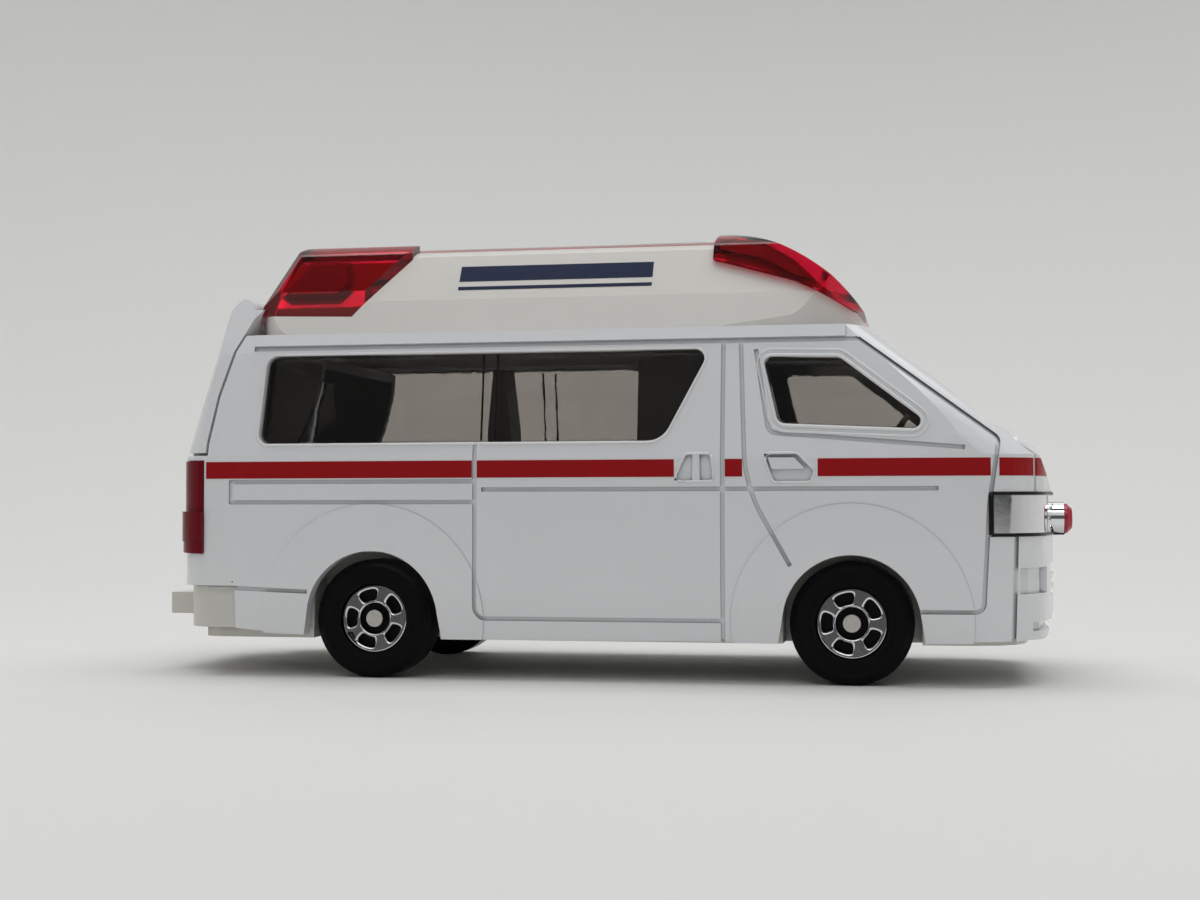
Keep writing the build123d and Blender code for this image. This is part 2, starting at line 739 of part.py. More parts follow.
def bumper_pockets():
    """Fog-lamp recesses, barred intake and lower slot in the front bumper."""
    with BuildPart() as pockets:
        for (low_y, low_z), (high_y, high_z) in BUMPER_POCKETS:
            add(block((NOSE_X - 8, low_y, low_z), (NOSE_X + 2, high_y, high_z)))
        for bar_z in INTAKE_BARS:
            low = (NOSE_X - 8, -7, bar_z - INTAKE_BAR_T / 2)
            add(block(low, (NOSE_X + 2, 7, bar_z + INTAKE_BAR_T / 2)), mode=Mode.SUBTRACT)
    return pockets.part - body_hull(BUMPER_POCKET_DEPTH, soft=False)


# Hollows in the tailgate, seen from behind: low and high corner of each (y, z).
GATE_HOLLOWS = [
    ((-2.4, GATE_FOOT_Z + 4.4), (2.4, GATE_FOOT_Z + 5.6)),  # handle
    ((-GATE_HALF_W, BELT_Z - 2.9), (GATE_HALF_W, BELT_Z - 2.6)),  # crease under the window
]


def gate_hollows():
    """Handle recess and crease on the outside of the tailgate."""
    with BuildPart() as hollows:
        for (low_y, low_z), (high_y, high_z) in GATE_HOLLOWS:
            add(block((TAIL_X - 5, low_y, low_z), (TAIL_X + GATE_DEPTH, high_y, high_z)))
        add(body_hull(HANDLE_DEPTH / 2, HULL_TOP_Z, soft=False), mode=Mode.SUBTRACT)
    return hollows.part


# ================================================================ shared volumes
OUTER = body_hull()
CAVITY = body_hull(WALL, soft=False)
OUTER_TALL = body_hull(0, HULL_TOP_Z)
INSET_SEAT = body_hull(INSET_DEPTH + SEAT / 2, soft=False)
INSET_BACK = body_hull(INSET_DEPTH, soft=False)
ROOF_OUTER = roof_hull()
ROOF_SEAT = roof_hull(LAMP_DEPTH + LAMP_FIT, soft=False)
ROOF_CAVITY = roof_hull(ROOF_WALL, soft=False)

FRONT_ARCH = arch_cutter(FRONT_AXLE_X, FRONT_ARCH_R)
REAR_ARCH = arch_cutter(REAR_AXLE_X, REAR_ARCH_R)
SHELF_Z = SPLIT_Z - WALL
CABIN_INSET = WALL + SEAT + GLASS_T + CABIN_GAP
CABIN_SPACE = body_hull(CABIN_INSET, soft=False)
CABIN_TOP_Z = SHELF_Z - SEAT - GLASS_T - CABIN_GAP


def write(piece, name):
    """Label a finished sub-part and write it as its own file."""
    piece.part.label = name
    export_step(piece.part, f"parts/{name}.step")


# ================================================================ body_shell
with BuildPart() as body_shell:
    add(OUTER)
    low = (GUTTER_REAR_X, -2 * HALF_W, SPLIT_Z - GUTTER_H)
    add(block(low, (GUTTER_FRONT_X, 2 * HALF_W, SPLIT_Z)) & body_hull(-GUTTER_PROUD))
    swollen = body_hull(-FLARE_PROUD)
    for axle_x in (FRONT_AXLE_X, REAR_AXLE_X):
        add(arch_flare(axle_x) & swollen)
    grooves = (flank_grooves() + bonnet_groove()) - body_hull(GROOVE_DEPTH, soft=False)
    add(grooves, mode=Mode.SUBTRACT)
    add(handle_hollows(), mode=Mode.SUBTRACT)
    add(bumper_pockets(), mode=Mode.SUBTRACT)
    add(CAVITY, mode=Mode.SUBTRACT)
    mouth = outline(
        lambda: plan_lines(NOSE_X, TAIL_X, soft=False), Plane.XY.offset(SILL_Z - 1), WALL + 0.4
    )
    extrude(mouth, amount=4.5, mode=Mode.SUBTRACT)
    add(
        block((TAIL_X - 5, -2 * HALF_W, 0), (REAR_SKIRT_X, 2 * HALF_W, REAR_SKIRT_Z)),
        mode=Mode.SUBTRACT,
    )
    add(roof_footprint(ROOF_FLANGE, SHELF_Z - 1, SPLIT_Z + 1), mode=Mode.SUBTRACT)
    sill_low = (REAR_POST_X - POST_R, -HALF_W + WALL / 2, REAR_SKIRT_Z)
    sill_high = (REAR_SKIRT_X + 0.3, HALF_W - WALL / 2, GATE_FOOT_Z + 0.6)
    add(block(sill_low, sill_high))
    add(gate_zone(GATE_GAP), mode=Mode.SUBTRACT)
    add(FRONT_ARCH, mode=Mode.SUBTRACT)
    add(REAR_ARCH, mode=Mode.SUBTRACT)
    for corners in (SIDE_WINDOW, CAB_WINDOW):
        add(window_prism(corners, 0), mode=Mode.SUBTRACT)
    add(screen_prism(0), mode=Mode.SUBTRACT)
    add(headlamp_band(SEAT / 2) - INSET_SEAT, mode=Mode.SUBTRACT)
    add(tail_lamp_zone(SEAT / 2) - INSET_SEAT, mode=Mode.SUBTRACT)
    post_low_z = CHASSIS_LOW_Z + RIVET_SINK + RIVET_HEAD_T
    for post_x, top_z in ((FRONT_POST_X, BELT_Z + 0.2), (REAR_POST_X, REAR_SKIRT_Z + 0.1)):
        with BuildSketch(Plane.XY.offset(post_low_z)):
            with Locations((post_x, 0)):
                Circle(POST_R)
        extrude(amount=top_z - post_low_z)

# ================================================================ high_roof
with BuildPart() as high_roof:
    add(ROOF_OUTER)
    for zone in (front_lamp_zone(LAMP_FIT), rear_lamp_zone(LAMP_FIT), strip_zone(LAMP_FIT)):
        add(zone, mode=Mode.SUBTRACT)
    add(ROOF_SEAT)
    add(roof_footprint(ROOF_FLANGE + SEAT, SPLIT_Z - LIP_DROP, SPLIT_Z + 0.5))
    add(ROOF_CAVITY, mode=Mode.SUBTRACT)
    add(
        roof_footprint(ROOF_FLANGE + SEAT + LIP_T, SPLIT_Z - LIP_DROP - 1, SPLIT_Z + 1.7),
        mode=Mode.SUBTRACT,
    )
    for side in (-1, 1):
        with BuildSketch(Plane.XZ.offset(-side * HINGE_Y - EAR_W / 2)):
            with Locations((HINGE_X, HINGE_Z)):
                Circle(HINGE_EYE_R)
                Rectangle(3.0, 2 * HINGE_EYE_R, align=(Align.MIN, Align.CENTER))
        extrude(amount=EAR_W)
        with BuildSketch(Plane.XZ.offset(-side * HINGE_Y - EAR_W)):
            with Locations((HINGE_X, HINGE_Z)):
                Circle(HINGE_PIN_R + HINGE_RUNNING)
        extrude(amount=2 * EAR_W, mode=Mode.SUBTRACT)

# ================================================================ roof_lamps
with BuildPart() as roof_lamps:
    add(front_lamp_zone(0) & roof_hull(-FRONT_LAMP_PROUD))
    add(rear_beacons())
    add(strip_zone(0) & roof_hull(0.1))
    add(roof_hull(LAMP_DEPTH, soft=False), mode=Mode.SUBTRACT)

# ================================================================ glazing
with BuildPart() as glazing:
    add(body_hull(WALL + SEAT, soft=False))
    add(body_hull(WALL + SEAT + GLASS_T, soft=False), mode=Mode.SUBTRACT)
    below = block((-2 * NOSE_X, -2 * HALF_W, 0), (2 * NOSE_X, 2 * HALF_W, BELT_Z + 0.4))
    add(below, mode=Mode.SUBTRACT)
    add(gate_zone(GATE_GAP + 0.4), mode=Mode.SUBTRACT)
    add(
        block(
            (-2 * NOSE_X, -2 * HALF_W, SHELF_Z - SEAT - GLASS_T),
            (2 * NOSE_X, 2 * HALF_W, SPLIT_Z),
        ),
        mode=Mode.SUBTRACT,
    )
    panes = body_hull(GLASS_SINK) - body_hull(WALL + SEAT + GLASS_T / 2, soft=False)
    for corners in (SIDE_WINDOW, CAB_WINDOW):
        add(window_prism(corners, GLASS_EDGE) & panes)
    add(screen_prism(GLASS_EDGE) & panes)

# ================================================================ tailgate
with BuildPart() as tailgate:
    with BuildSketch(Plane.XZ):
        with Locations((HINGE_X, HINGE_Z)):
            Rectangle(30, HINGE_Z, align=(Align.CENTER, Align.MAX))
            Circle(GATE_TOP_R)
    extrude(amount=2 * HALF_W, both=True)
    add(OUTER_TALL & gate_zone(0), mode=Mode.INTERSECT)
    add(roof_hull(-GATE_ROOF_GAP), mode=Mode.SUBTRACT)
    low = (TAIL_X - 5, -GATE_HALF_W + GATE_RIM, GATE_FOOT_Z + GATE_RIM)
    high = (HINGE_X, GATE_HALF_W - GATE_RIM, HINGE_Z - 2.6)
    add(block(low, high) & body_hull(GATE_SKIN, HULL_TOP_Z, soft=False), mode=Mode.SUBTRACT)
    add(gate_window_prism(0), mode=Mode.SUBTRACT)
    add(gate_hollows(), mode=Mode.SUBTRACT)
    for side in (-1, 1):
        notch = EAR_W + 2 * EAR_SIDE_GAP
        low = (HINGE_X - 1.4, side * HINGE_Y - notch / 2, HINGE_Z - 1.4)
        high = (HINGE_X + 3, side * HINGE_Y + notch / 2, HULL_TOP_Z + 1)
        add(block(low, high), mode=Mode.SUBTRACT)
        with BuildSketch(Plane.XZ.offset(-side * HINGE_Y - notch / 2 - 0.3)):
            with Locations((HINGE_X, HINGE_Z)):
                Circle(HINGE_PIN_R)
        extrude(amount=notch + 0.6)

# ================================================================ tailgate_glass
with BuildPart() as tailgate_glass:
    back = body_hull(GATE_SKIN + SEAT + GLASS_T, HULL_TOP_Z, soft=False)
    pane = body_hull(GLASS_SINK, HULL_TOP_Z) - back
    flange = body_hull(GATE_SKIN + SEAT, HULL_TOP_Z, soft=False) - back
    add(gate_window_prism(GLASS_EDGE) & pane)
    low = (TAIL_X - 5, -GATE_HALF_W + GATE_RIM + 0.3, WINDOW_LOW_Z - 0.8)
    high = (HINGE_X, GATE_HALF_W - GATE_RIM - 0.3, HINGE_Z - 2.9)
    behind = block(low, high) - block((HINGE_X - 3.0, -20, 0), (HINGE_X + 40, 20, 50))
    add(behind & flange)

# ================================================================ headlamp_insert
with BuildPart() as headlamp_insert:
    add((OUTER & headlamp_band(0)) - INSET_BACK)
    add(grille_slots() & headlamp_band(0), mode=Mode.SUBTRACT)
    for side in (-1, 1):
        with BuildSketch(Plane.YZ.offset(NOSE_X - INSET_DEPTH)):
            with Locations((side * FLASHER_Y, FLASHER_Z)):
                Circle(POD_R)
        extrude(amount=INSET_DEPTH + POD_L)

# ================================================================ grille_flashers
with BuildPart() as grille_flashers:
    for side in (-1, 1):
        with BuildSketch(Plane.YZ.offset(NOSE_X + POD_L)):
            with Locations((side * FLASHER_Y, FLASHER_Z)):
                Circle(FLASHER_R)
        extrude(amount=FLASHER_L)
    chamfer(grille_flashers.faces().filter_by(Axis.X).group_by(Axis.X)[-1].edges(), length=0.4)

# ================================================================ tail_lamps
with BuildPart() as tail_lamps:
    for low_z, high_z, proud in TAIL_LAMP_SECTIONS:
        section = block((-2 * NOSE_X, -2 * HALF_W, low_z), (2 * NOSE_X, 2 * HALF_W, high_z))
        add((body_hull(-proud) & tail_lamp_zone(0) & section) - INSET_BACK)

# ================================================================ chassis_base
# Raised shapes on the underside. Columns: x from, x to, y from, y to, height.
UNDERSIDE = [
    (REAR_AXLE_X - 11, FRONT_AXLE_X + 9, 6.2, 7.2, 0.2),  # left side member
    (REAR_AXLE_X - 11, FRONT_AXLE_X + 9, -7.2, -6.2, 0.2),  # right side member
    (FRONT_AXLE_X - 8.2, FRONT_AXLE_X - 7.0, -8.4, 8.4, 0.2),  # front cross member
    (REAR_AXLE_X + 7.0, REAR_AXLE_X + 8.2, -8.4, 8.4, 0.2),  # rear cross member
    (-4.0, FRONT_AXLE_X - 10, -1.6, 1.6, RELIEF),  # gearbox
    (REAR_AXLE_X, -4.0, -0.5, 0.5, 0.2),  # propeller shaft
    (REAR_AXLE_X - 2.4, REAR_AXLE_X + 2.4, -1.9, 1.9, RELIEF),  # differential
    (FRONT_AXLE_X - 4.5, FRONT_AXLE_X + 4.5, -5.5, 5.5, 0.2),  # engine tray
    (-9.0, 5.0, 2.6, 5.6, RELIEF),  # fuel tank
    (REAR_AXLE_X - 11, 6.0, -4.4, -3.6, 0.2),  # exhaust pipe
    (-11.0, -5.0, -5.4, -2.8, RELIEF),  # silencer
]

def wheel_well(axle_x, side, wall, outer_y):
    """Block over one wheel, grown by the wall on every side but the outer one."""
    reach = WHEEL_R + WELL_GAP + wall
    near, far = sorted((side * (WELL_IN_Y - wall), side * outer_y))
    low_z = CHASSIS_LOW_Z + RELIEF if wall else 0
    return block((axle_x - reach, near, low_z), (axle_x + reach, far, WELL_TOP_Z + wall))


with BuildPart() as chassis_base:
    plate_plane = Plane.XY.offset(CHASSIS_LOW_Z + RELIEF)
    plan = outline(
        lambda: plan_lines(NOSE_X, TAIL_X, soft=False), plate_plane, WALL + 0.4 + SEAT
    )
    extrude(plan, amount=CHASSIS_T - RELIEF)
    for low_x, high_x, low_y, high_y, drop in UNDERSIDE:
        low = (low_x, low_y, CHASSIS_LOW_Z + RELIEF - drop)
        add(block(low, (high_x, high_y, CHASSIS_LOW_Z + CHASSIS_T)))
    with BuildSketch(Plane.XY.offset(CHASSIS_LOW_Z)):
        with Locations((FRONT_POST_X, 0), (REAR_POST_X, 0)):
            Circle(RIVET_HEAD_R + BOSS_RIM)
    extrude(amount=RELIEF)
    skirt = outline(
        lambda: plan_lines(NOSE_X, TAIL_X), Plane.XY.offset(BUMPER_LOW_Z), BUMPER_INSET
    )
    bumper = extrude(skirt, amount=REAR_SKIRT_Z - SEAT - BUMPER_LOW_Z, mode=Mode.PRIVATE)
    add(bumper & block((TAIL_X - 5, -20, 0), (REAR_SKIRT_X - SEAT, 20, 20)))
    add(
        block(
            (TAIL_X - STEP_L, -STEP_HALF_W, STEP_LOW_Z),
            (TAIL_X + 2, STEP_HALF_W, STEP_LOW_Z + STEP_T),
        )
    )
    for axle_x in (FRONT_AXLE_X, REAR_AXLE_X):
        for side in (-1, 1):
            add(wheel_well(axle_x, side, WELL_WALL, HALF_W - WALL - WELL_SIDE_GAP))
            add(wheel_well(axle_x, side, 0, 2 * HALF_W), mode=Mode.SUBTRACT)
            saddle_y = side * (WELL_IN_Y - SADDLE_W / 2)
            low = (axle_x - SADDLE_L / 2, saddle_y - SADDLE_W / 2, CHASSIS_LOW_Z)
            high = (axle_x + SADDLE_L / 2, saddle_y + SADDLE_W / 2, FLOOR_Z - SEAT)
            add(block(low, high))
        slot = AXLE_R + AXLE_RUNNING
        low = (axle_x - slot, -HALF_W, WHEEL_R - slot)
        add(block(low, (axle_x + slot, HALF_W, FLOOR_Z)), mode=Mode.SUBTRACT)
    head_hole = (RIVET_HEAD_R + POST_FIT, RIVET_SINK + RIVET_HEAD_T)
    post_hole = (POST_R + POST_FIT, REAR_SKIRT_Z)
    for radius, depth in (head_hole, post_hole):
        with BuildSketch(Plane.XY.offset(CHASSIS_LOW_Z)):
            with Locations((FRONT_POST_X, 0), (REAR_POST_X, 0)):
                Circle(radius)
        extrude(amount=depth, mode=Mode.SUBTRACT)

# ================================================================ rivets
for name, post_x in (("front_rivet", FRONT_POST_X), ("rear_rivet", REAR_POST_X)):
    with BuildPart() as rivet:
        with BuildSketch(Plane.XY.offset(CHASSIS_LOW_Z + RIVET_SINK)):
            with Locations((post_x, 0)):
                Circle(RIVET_HEAD_R)
        extrude(amount=RIVET_HEAD_T)
        chamfer(rivet.edges().group_by(Axis.Z)[0], length=0.25)
    write(rivet, name)

# ================================================================ cabin_interior
# Furniture in side view. Columns: y from, y to, and the corners (x, z).
FURNITURE = [
    (  # dashboard
        -DASH_HALF_W,
        DASH_HALF_W,
        [
            (FRONT_AXLE_X + 3.6, FLOOR_Z),
            (FRONT_AXLE_X + 3.6, BELT_Z - 1.6),
            (FRONT_AXLE_X + 4.6, BELT_Z + 1.4),
            (FRONT_AXLE_X + 6.4, BELT_Z + 1.9),
            (FRONT_AXLE_X + 9.6, BELT_Z + 0.6),
            (FRONT_AXLE_X + 9.8, FLOOR_Z),
        ],
    ),
    (  # attendant's seat
        -10.4,
        -6.4,
        [
            (DOOR_REAR_X + 0.3, FLOOR_Z),
            (DOOR_REAR_X + 0.4, WINDOW_LOW_Z + 1.0),
            (DOOR_REAR_X + 0.9, WINDOW_TOP_Z - 1.4),
            (DOOR_REAR_X + 1.8, WINDOW_TOP_Z - 1.4),
            (DOOR_REAR_X + 2.4, WINDOW_LOW_Z + 1.0),
            (DOOR_REAR_X + 2.6, FLOOR_Z + 8.2),
            (DOOR_REAR_X + 6.6, FLOOR_Z + 8.0),
            (DOOR_REAR_X + 6.6, FLOOR_Z),
        ],
    ),
]


def upright_block(low_x, high_x, low_y, high_y, high_z):
    """Block on the cabin floor, trimmed to stand clear of walls and glass."""
    return block((low_x, low_y, FLOOR_Z), (high_x, high_y, high_z)) & CABIN_SPACE


def corner_trims():
    """Lining of both rear corners, its front edge curving forward under the roof."""
    with BuildPart() as trims:
        with BuildSketch(Plane.XZ):
            with BuildLine():
                foot = Polyline(
                    (TAIL_X + 6.8, CABIN_TOP_Z),
                    (TAIL_X + 6.8, FLOOR_Z),
                    (TAIL_X + 10.6, FLOOR_Z),
                    (TAIL_X + 10.8, WINDOW_LOW_Z),
                )
                sweep = ThreePointArc(
                    foot @ 1, (TAIL_X + 12.4, BELT_Z + 5.2), (TAIL_X + 13.0, CABIN_TOP_Z)
                )
                Line(sweep @ 1, foot @ 0)
            make_face()
        extrude(amount=2 * HALF_W, both=True)
        add(CABIN_SPACE, mode=Mode.INTERSECT)
        add(body_hull(CABIN_INSET + TRIM_T, soft=False), mode=Mode.SUBTRACT)
    return trims.part


def steering_wheel():
    """Rim, hub and column, leaning back from the dashboard."""
    wheel_plane = Plane(
        origin=(FRONT_AXLE_X + 3.3, STEER_Y, BELT_Z + 2.0), x_dir=(0, 1, 0), z_dir=(1, 0, -0.7)
    )
    with BuildPart() as wheel:
        with BuildSketch(wheel_plane):
            Circle(STEER_R)
            Circle(STEER_R - STEER_RIM, mode=Mode.SUBTRACT)
            Rectangle(2 * STEER_R - STEER_RIM, STEER_RIM)
            Rectangle(STEER_RIM, 2 * STEER_R - STEER_RIM)
        extrude(amount=STEER_RIM)
        with BuildSketch(wheel_plane):
            Rectangle(2 * STEER_RIM, 2 * STEER_RIM)
        extrude(amount=STEER_R + 1.2)
    return wheel.part


with BuildPart() as cabin_interior:
    plan = outline(
        lambda: plan_lines(NOSE_X - 5.8, TAIL_X + 6.2, soft=False),
        Plane.XY.offset(FLOOR_Z),
        WALL + 0.6,
    )
    extrude(plan, amount=FLOOR_T)
    for side in (-1, 1):
        seat_y = side * (HALF_W - WALL - 1.2 - SEAT_W / 2)
        with BuildSketch(Plane.XZ.offset(-seat_y - SEAT_W / 2)):
            with BuildLine():
                FilletPolyline(
                    (SEAT_BACK_X + 9.5, FLOOR_Z + 0.3),
                    (SEAT_BACK_X + 9.5, FLOOR_Z + 7.4),
                    (SEAT_BACK_X + 2.6, FLOOR_Z + 6.6),
                    (SEAT_BACK_X + 0.6, FLOOR_Z + 14.2),
                    (SEAT_BACK_X - 1.2, FLOOR_Z + 14.2),
                    (SEAT_BACK_X + 0.2, FLOOR_Z + 0.3),
                    radius=[1.2, 0.8, 0.8, 0.8, 0.4, 0],
                    close=True,
                )
            make_face()
        extrude(amount=SEAT_W)
    for low_y, high_y, corners in FURNITURE:
        with BuildSketch(Plane.XZ.offset(-high_y)):
            Polygon(*corners, align=None)
        extrude(amount=high_y - low_y)
    add(steering_wheel())
    add(corner_trims())
    add(upright_block(DOOR_FRONT_X - 7.4, DOOR_FRONT_X - 0.9, -HALF_W, HALF_W, CABIN_TOP_Z))
    bench_top_z = WINDOW_LOW_Z + 0.2
    add(upright_block(TAIL_X + 9.5, DOOR_REAR_X - 4.5, OPENING_HALF_W, HALF_W, bench_top_z))
    for axle_x in (FRONT_AXLE_X, REAR_AXLE_X):
        for side in (-1, 1):
            add(wheel_well(axle_x, side, WELL_WALL + SEAT, HALF_W), mode=Mode.SUBTRACT)

# ================================================================ axles, tyres and hubs
for end, axle_x in (("front", FRONT_AXLE_X), ("rear", REAR_AXLE_X)):
    with BuildPart() as axle:
        with BuildSketch(Plane.XZ):
            with Locations((axle_x, WHEEL_R)):
                Circle(AXLE_R)
        extrude(amount=TYRE_OUT_Y - AXLE_SINK, both=True)
    write(axle, f"{end}_axle")
    for flank, side in (("right", -1), ("left", 1)):
        face_y = side * TYRE_OUT_Y
        wheel_plane = Plane(
            origin=(axle_x, face_y, WHEEL_R), x_dir=(1, 0, 0), z_dir=(0, -side, 0)
        )
        with BuildPart() as tyre:
            with BuildSketch(wheel_plane):
                Circle(WHEEL_R)
            extrude(amount=TYRE_W)
            face = tyre.faces().sort_by(Axis.Y)[0 if side < 0 else -1]
            chamfer(face.edges(), length=TREAD_ROUND, length2=TREAD_ROUND / 2, reference=face)
            with BuildSketch(wheel_plane):
                Circle(HUB_R + HUB_FIT)
            extrude(amount=HUB_RECESS + HUB_T + HUB_FIT, mode=Mode.SUBTRACT)
            with BuildSketch(wheel_plane):
                Circle(AXLE_R + HUB_FIT)
            extrude(amount=TYRE_W, mode=Mode.SUBTRACT)
        write(tyre, f"tyre_{end}_{flank}")
        with BuildPart() as hub:
            with BuildSketch(wheel_plane.offset(HUB_RECESS)):
                Circle(HUB_R)
                Circle(SLOT_OUT_R, mode=Mode.SUBTRACT)
                with PolarLocations(0, SLOT_COUNT, start_angle=90 + 180 / SLOT_COUNT):
                    Rectangle((SLOT_OUT_R + HUB_R) / 2, SPOKE_W, align=(Align.MIN, Align.CENTER))
                Circle(SLOT_IN_R)
                Circle(HUB_EYE_R, mode=Mode.SUBTRACT)
            extrude(amount=HUB_T)
        write(hub, f"hub_{end}_{flank}")

write(body_shell, "body_shell")
write(high_roof, "high_roof")
write(roof_lamps, "roof_lamps")
write(glazing, "glazing")
write(tailgate, "tailgate")
write(tailgate_glass, "tailgate_glass")
write(headlamp_insert, "headlamp_insert")
write(grille_flashers, "grille_flashers")
write(tail_lamps, "tail_lamps")
write(chassis_base, "chassis_base")
write(cabin_interior, "cabin_interior")
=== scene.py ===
"""Looks of the die-cast toy ambulance: finishes, printed stripe, small trim, studio and camera.

Lengths are in millimetres in the CAD frame: +X forward, +Z up, the floor at Z = 0.
Angles are in degrees. side is -1 on the right flank, which the camera sees, and 1 on the left.
"""

import json
import math

import bmesh
import bpy
from mathutils import Euler, Matrix, Vector
from mathutils.bvhtree import BVHTree


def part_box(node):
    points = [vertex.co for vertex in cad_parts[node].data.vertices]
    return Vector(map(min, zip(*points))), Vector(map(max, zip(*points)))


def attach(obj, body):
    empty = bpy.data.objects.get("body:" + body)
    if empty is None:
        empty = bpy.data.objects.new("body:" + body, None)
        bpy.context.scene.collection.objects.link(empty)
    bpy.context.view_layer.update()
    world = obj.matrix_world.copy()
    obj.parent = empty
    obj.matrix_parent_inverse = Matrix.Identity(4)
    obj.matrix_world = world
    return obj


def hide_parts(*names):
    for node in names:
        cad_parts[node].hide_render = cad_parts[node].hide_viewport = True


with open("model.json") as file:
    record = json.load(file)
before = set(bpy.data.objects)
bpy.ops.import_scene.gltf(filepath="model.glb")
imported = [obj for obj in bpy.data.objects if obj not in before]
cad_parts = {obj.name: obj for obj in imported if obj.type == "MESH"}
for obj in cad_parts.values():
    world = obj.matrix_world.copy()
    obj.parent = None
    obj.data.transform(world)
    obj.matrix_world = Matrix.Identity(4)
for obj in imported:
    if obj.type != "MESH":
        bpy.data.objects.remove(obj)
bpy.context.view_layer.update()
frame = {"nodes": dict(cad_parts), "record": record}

MM = 0.001
NODES = frame["nodes"]
FLANKS = {"right": -1, "left": 1}

# ------------------------------------------------------------------ camera and studio values
CAMERA_PLACE = (27.606, -157.771, 15.312)
CAMERA_YAW = -10.578
CAMERA_PITCH = 1.565
CAMERA_ROLL = -0.120
CAMERA_LENS = 52.741
SENSOR_WIDTH = 36.0
CLIP_START = 5.0
CLIP_END = 20000.0
# The paper is a round floor whose rim rises to a wall, left flat on the camera's side.
PAPER = (0.705, 0.705, 0.69, 1.0)
PAPER_ROUGHNESS = 0.7
PAPER_SPECULAR = 0.2
BOWL_Y = -205.0
BOWL_FLOOR_R = 300.0
BOWL_CURVE_R = 420.0
BOWL_CURVE_STEPS = 24
BOWL_WALL_Z = 1100.0
BOWL_WALL_LEAN = 1.0
BOWL_SIDES = 96
CAMERA_SIDE_ANGLE = -90.0
OPEN_HALF_ANGLE = 62.0
OPEN_BLEND_ANGLE = 26.0
OPEN_STRETCH = 6.0
WORLD_COLOUR = (0.97, 0.98, 1.0, 1.0)
WORLD_STRENGTH = 0.09
# Softboxes: place, what it points at, width and depth, watts.
SOFTBOXES = {
    "softbox_top": ((0.0, 20.0, 430.0), (0.0, 0.0, 0.0), (620.0, 270.0), 1.5),
    "softbox_front": ((20.0, -400.0, 520.0), (0.0, 0.0, 0.0), (520.0, 130.0), 0.55),
    "softbox_back": ((0.0, 320.0, 420.0), (0.0, 0.0, 0.0), (600.0, 200.0), 0.4),
    "softbox_far": ((0.0, -1500.0, 900.0), (0.0, -1501.0, 0.0), (2600.0, 1500.0), 7.0),
}

# ------------------------------------------------------------------ sizes of the printed trim
# A film's outer face lies this far off the surface it is printed on, and its inner face below it.
FILM_LIFT = 0.03
FILM_SINK = 0.03
STRIPE_LOW_Z = 17.05
STRIPE_TOP_Z = 18.5
# Stretches of the red stripe along one flank, between doors and handles: from and to.
STRIPE_RUNS = [
    (-34.05, -10.25),
    (-9.83, 6.95),
    (11.17, 12.6),
    (18.75, 32.52),
    (33.2, 35.95),
]
STRIPE_STEP = 0.6
# Round the nose the stripe turns about an upright line, in steps of an angle.
STRIPE_NOSE_X = 36.12
NOSE_CENTRE_X = 26.0
STRIPE_NOSE_STEP = 0.4
STRIPE_NOSE_ROWS = 8
# Plain trim lines on the roof's side: low and high edge.
ROOF_BARS = [(34.15, 35.55), (33.35, 33.65)]
BAR_REAR_X = -12.4
BAR_FRONT_X = 4.6
BAR_STEP = 1.0
DIVIDER_X = (-9.62, -8.39)
DIVIDER_W = 0.17
DIVIDER_ROWS = 12
PANE_LOW_Z = 20.2
PANE_TOP_Z = 27.55

# ------------------------------------------------------------------ sizes of the raised rims
# Openings of a flank in side view, each corner as X, Z and radius.
SIDE_WINDOW = [(-28.9, 27.7, 1.0), (9.9, 27.7, 0.8), (5.9, 20.05, 2.0), (-29.4, 20.05, 0.8)]
CAB_WINDOW = [(14.2, 27.0, 0.6), (20.5, 26.85, 1.0), (28.3, 20.8, 0.6), (15.5, 21.4, 0.8)]
SLIDE_HANDLE = [(6.95, 16.75, 0.35), (7.95, 18.9, 0.4), (9.95, 18.9, 0.4), (10.2, 16.75, 0.3)]
CAB_HANDLE = [
    (15.15, 16.65, 0.35),
    (14.35, 18.9, 0.45),
    (17.05, 18.9, 0.45),
    (18.45, 17.5, 0.5),
    (18.15, 16.65, 0.35),
]
# Rounded rims: outline, how far outside it, and bead radius.
FLANK_RIMS = [
    (SIDE_WINDOW, 0.12, 0.13),
    (CAB_WINDOW, 0.14, 0.16),
    (CAB_WINDOW, 0.62, 0.12),
    (SLIDE_HANDLE, 0.08, 0.12),
    (CAB_HANDLE, 0.08, 0.12),
]
OUTLINE_STEP = 0.5
CORNER_HALF_STEPS = 3
# The dark bead round the chrome band, a painted shadow in the recess where band and body meet:
# how far inside the band's box it runs, and its radius.
SHADOW_TOP_INSET = 0.08
SHADOW_FOOT_INSET = 0.18
SHADOW_END_INSET = 0.1
SHADOW_R = 0.15
SHADOW_END_R = 0.21
SHADOW_NOSE_STEP = 2.0
SHADOW_END_STEP = 0.5

# ------------------------------------------------------------------ sizes of the wheels' trim
SLOT_COUNT = 5
SLOT_IN_R = 1.6
SLOT_OUT_R = 2.5
SLOT_HALF_ANGLE = 21.0
SLOT_TURN = 107.0
SLOT_ARC_STEPS = 20
SLOT_END_STEPS = 10
SLOT_ROUNDING = 14
EYE_R = 1.30
EDGE_R = 0.18
EDGE_STEPS = 5
DISC_SIDES = 96
# The discs sit a little askew on their axles, leaning back at the top.
DISC_LEAN = 3.2
# Moulding lines on a tyre's side: ring radius and bead radius, and how deep the bead is sunk.
SIDEWALL_RINGS = [(3.5, 0.05), (4.35, 0.04)]
SIDEWALL_SIDES = 72
SIDEWALL_BEAD_SIDES = 6
SIDEWALL_SINK_SHARE = 0.4
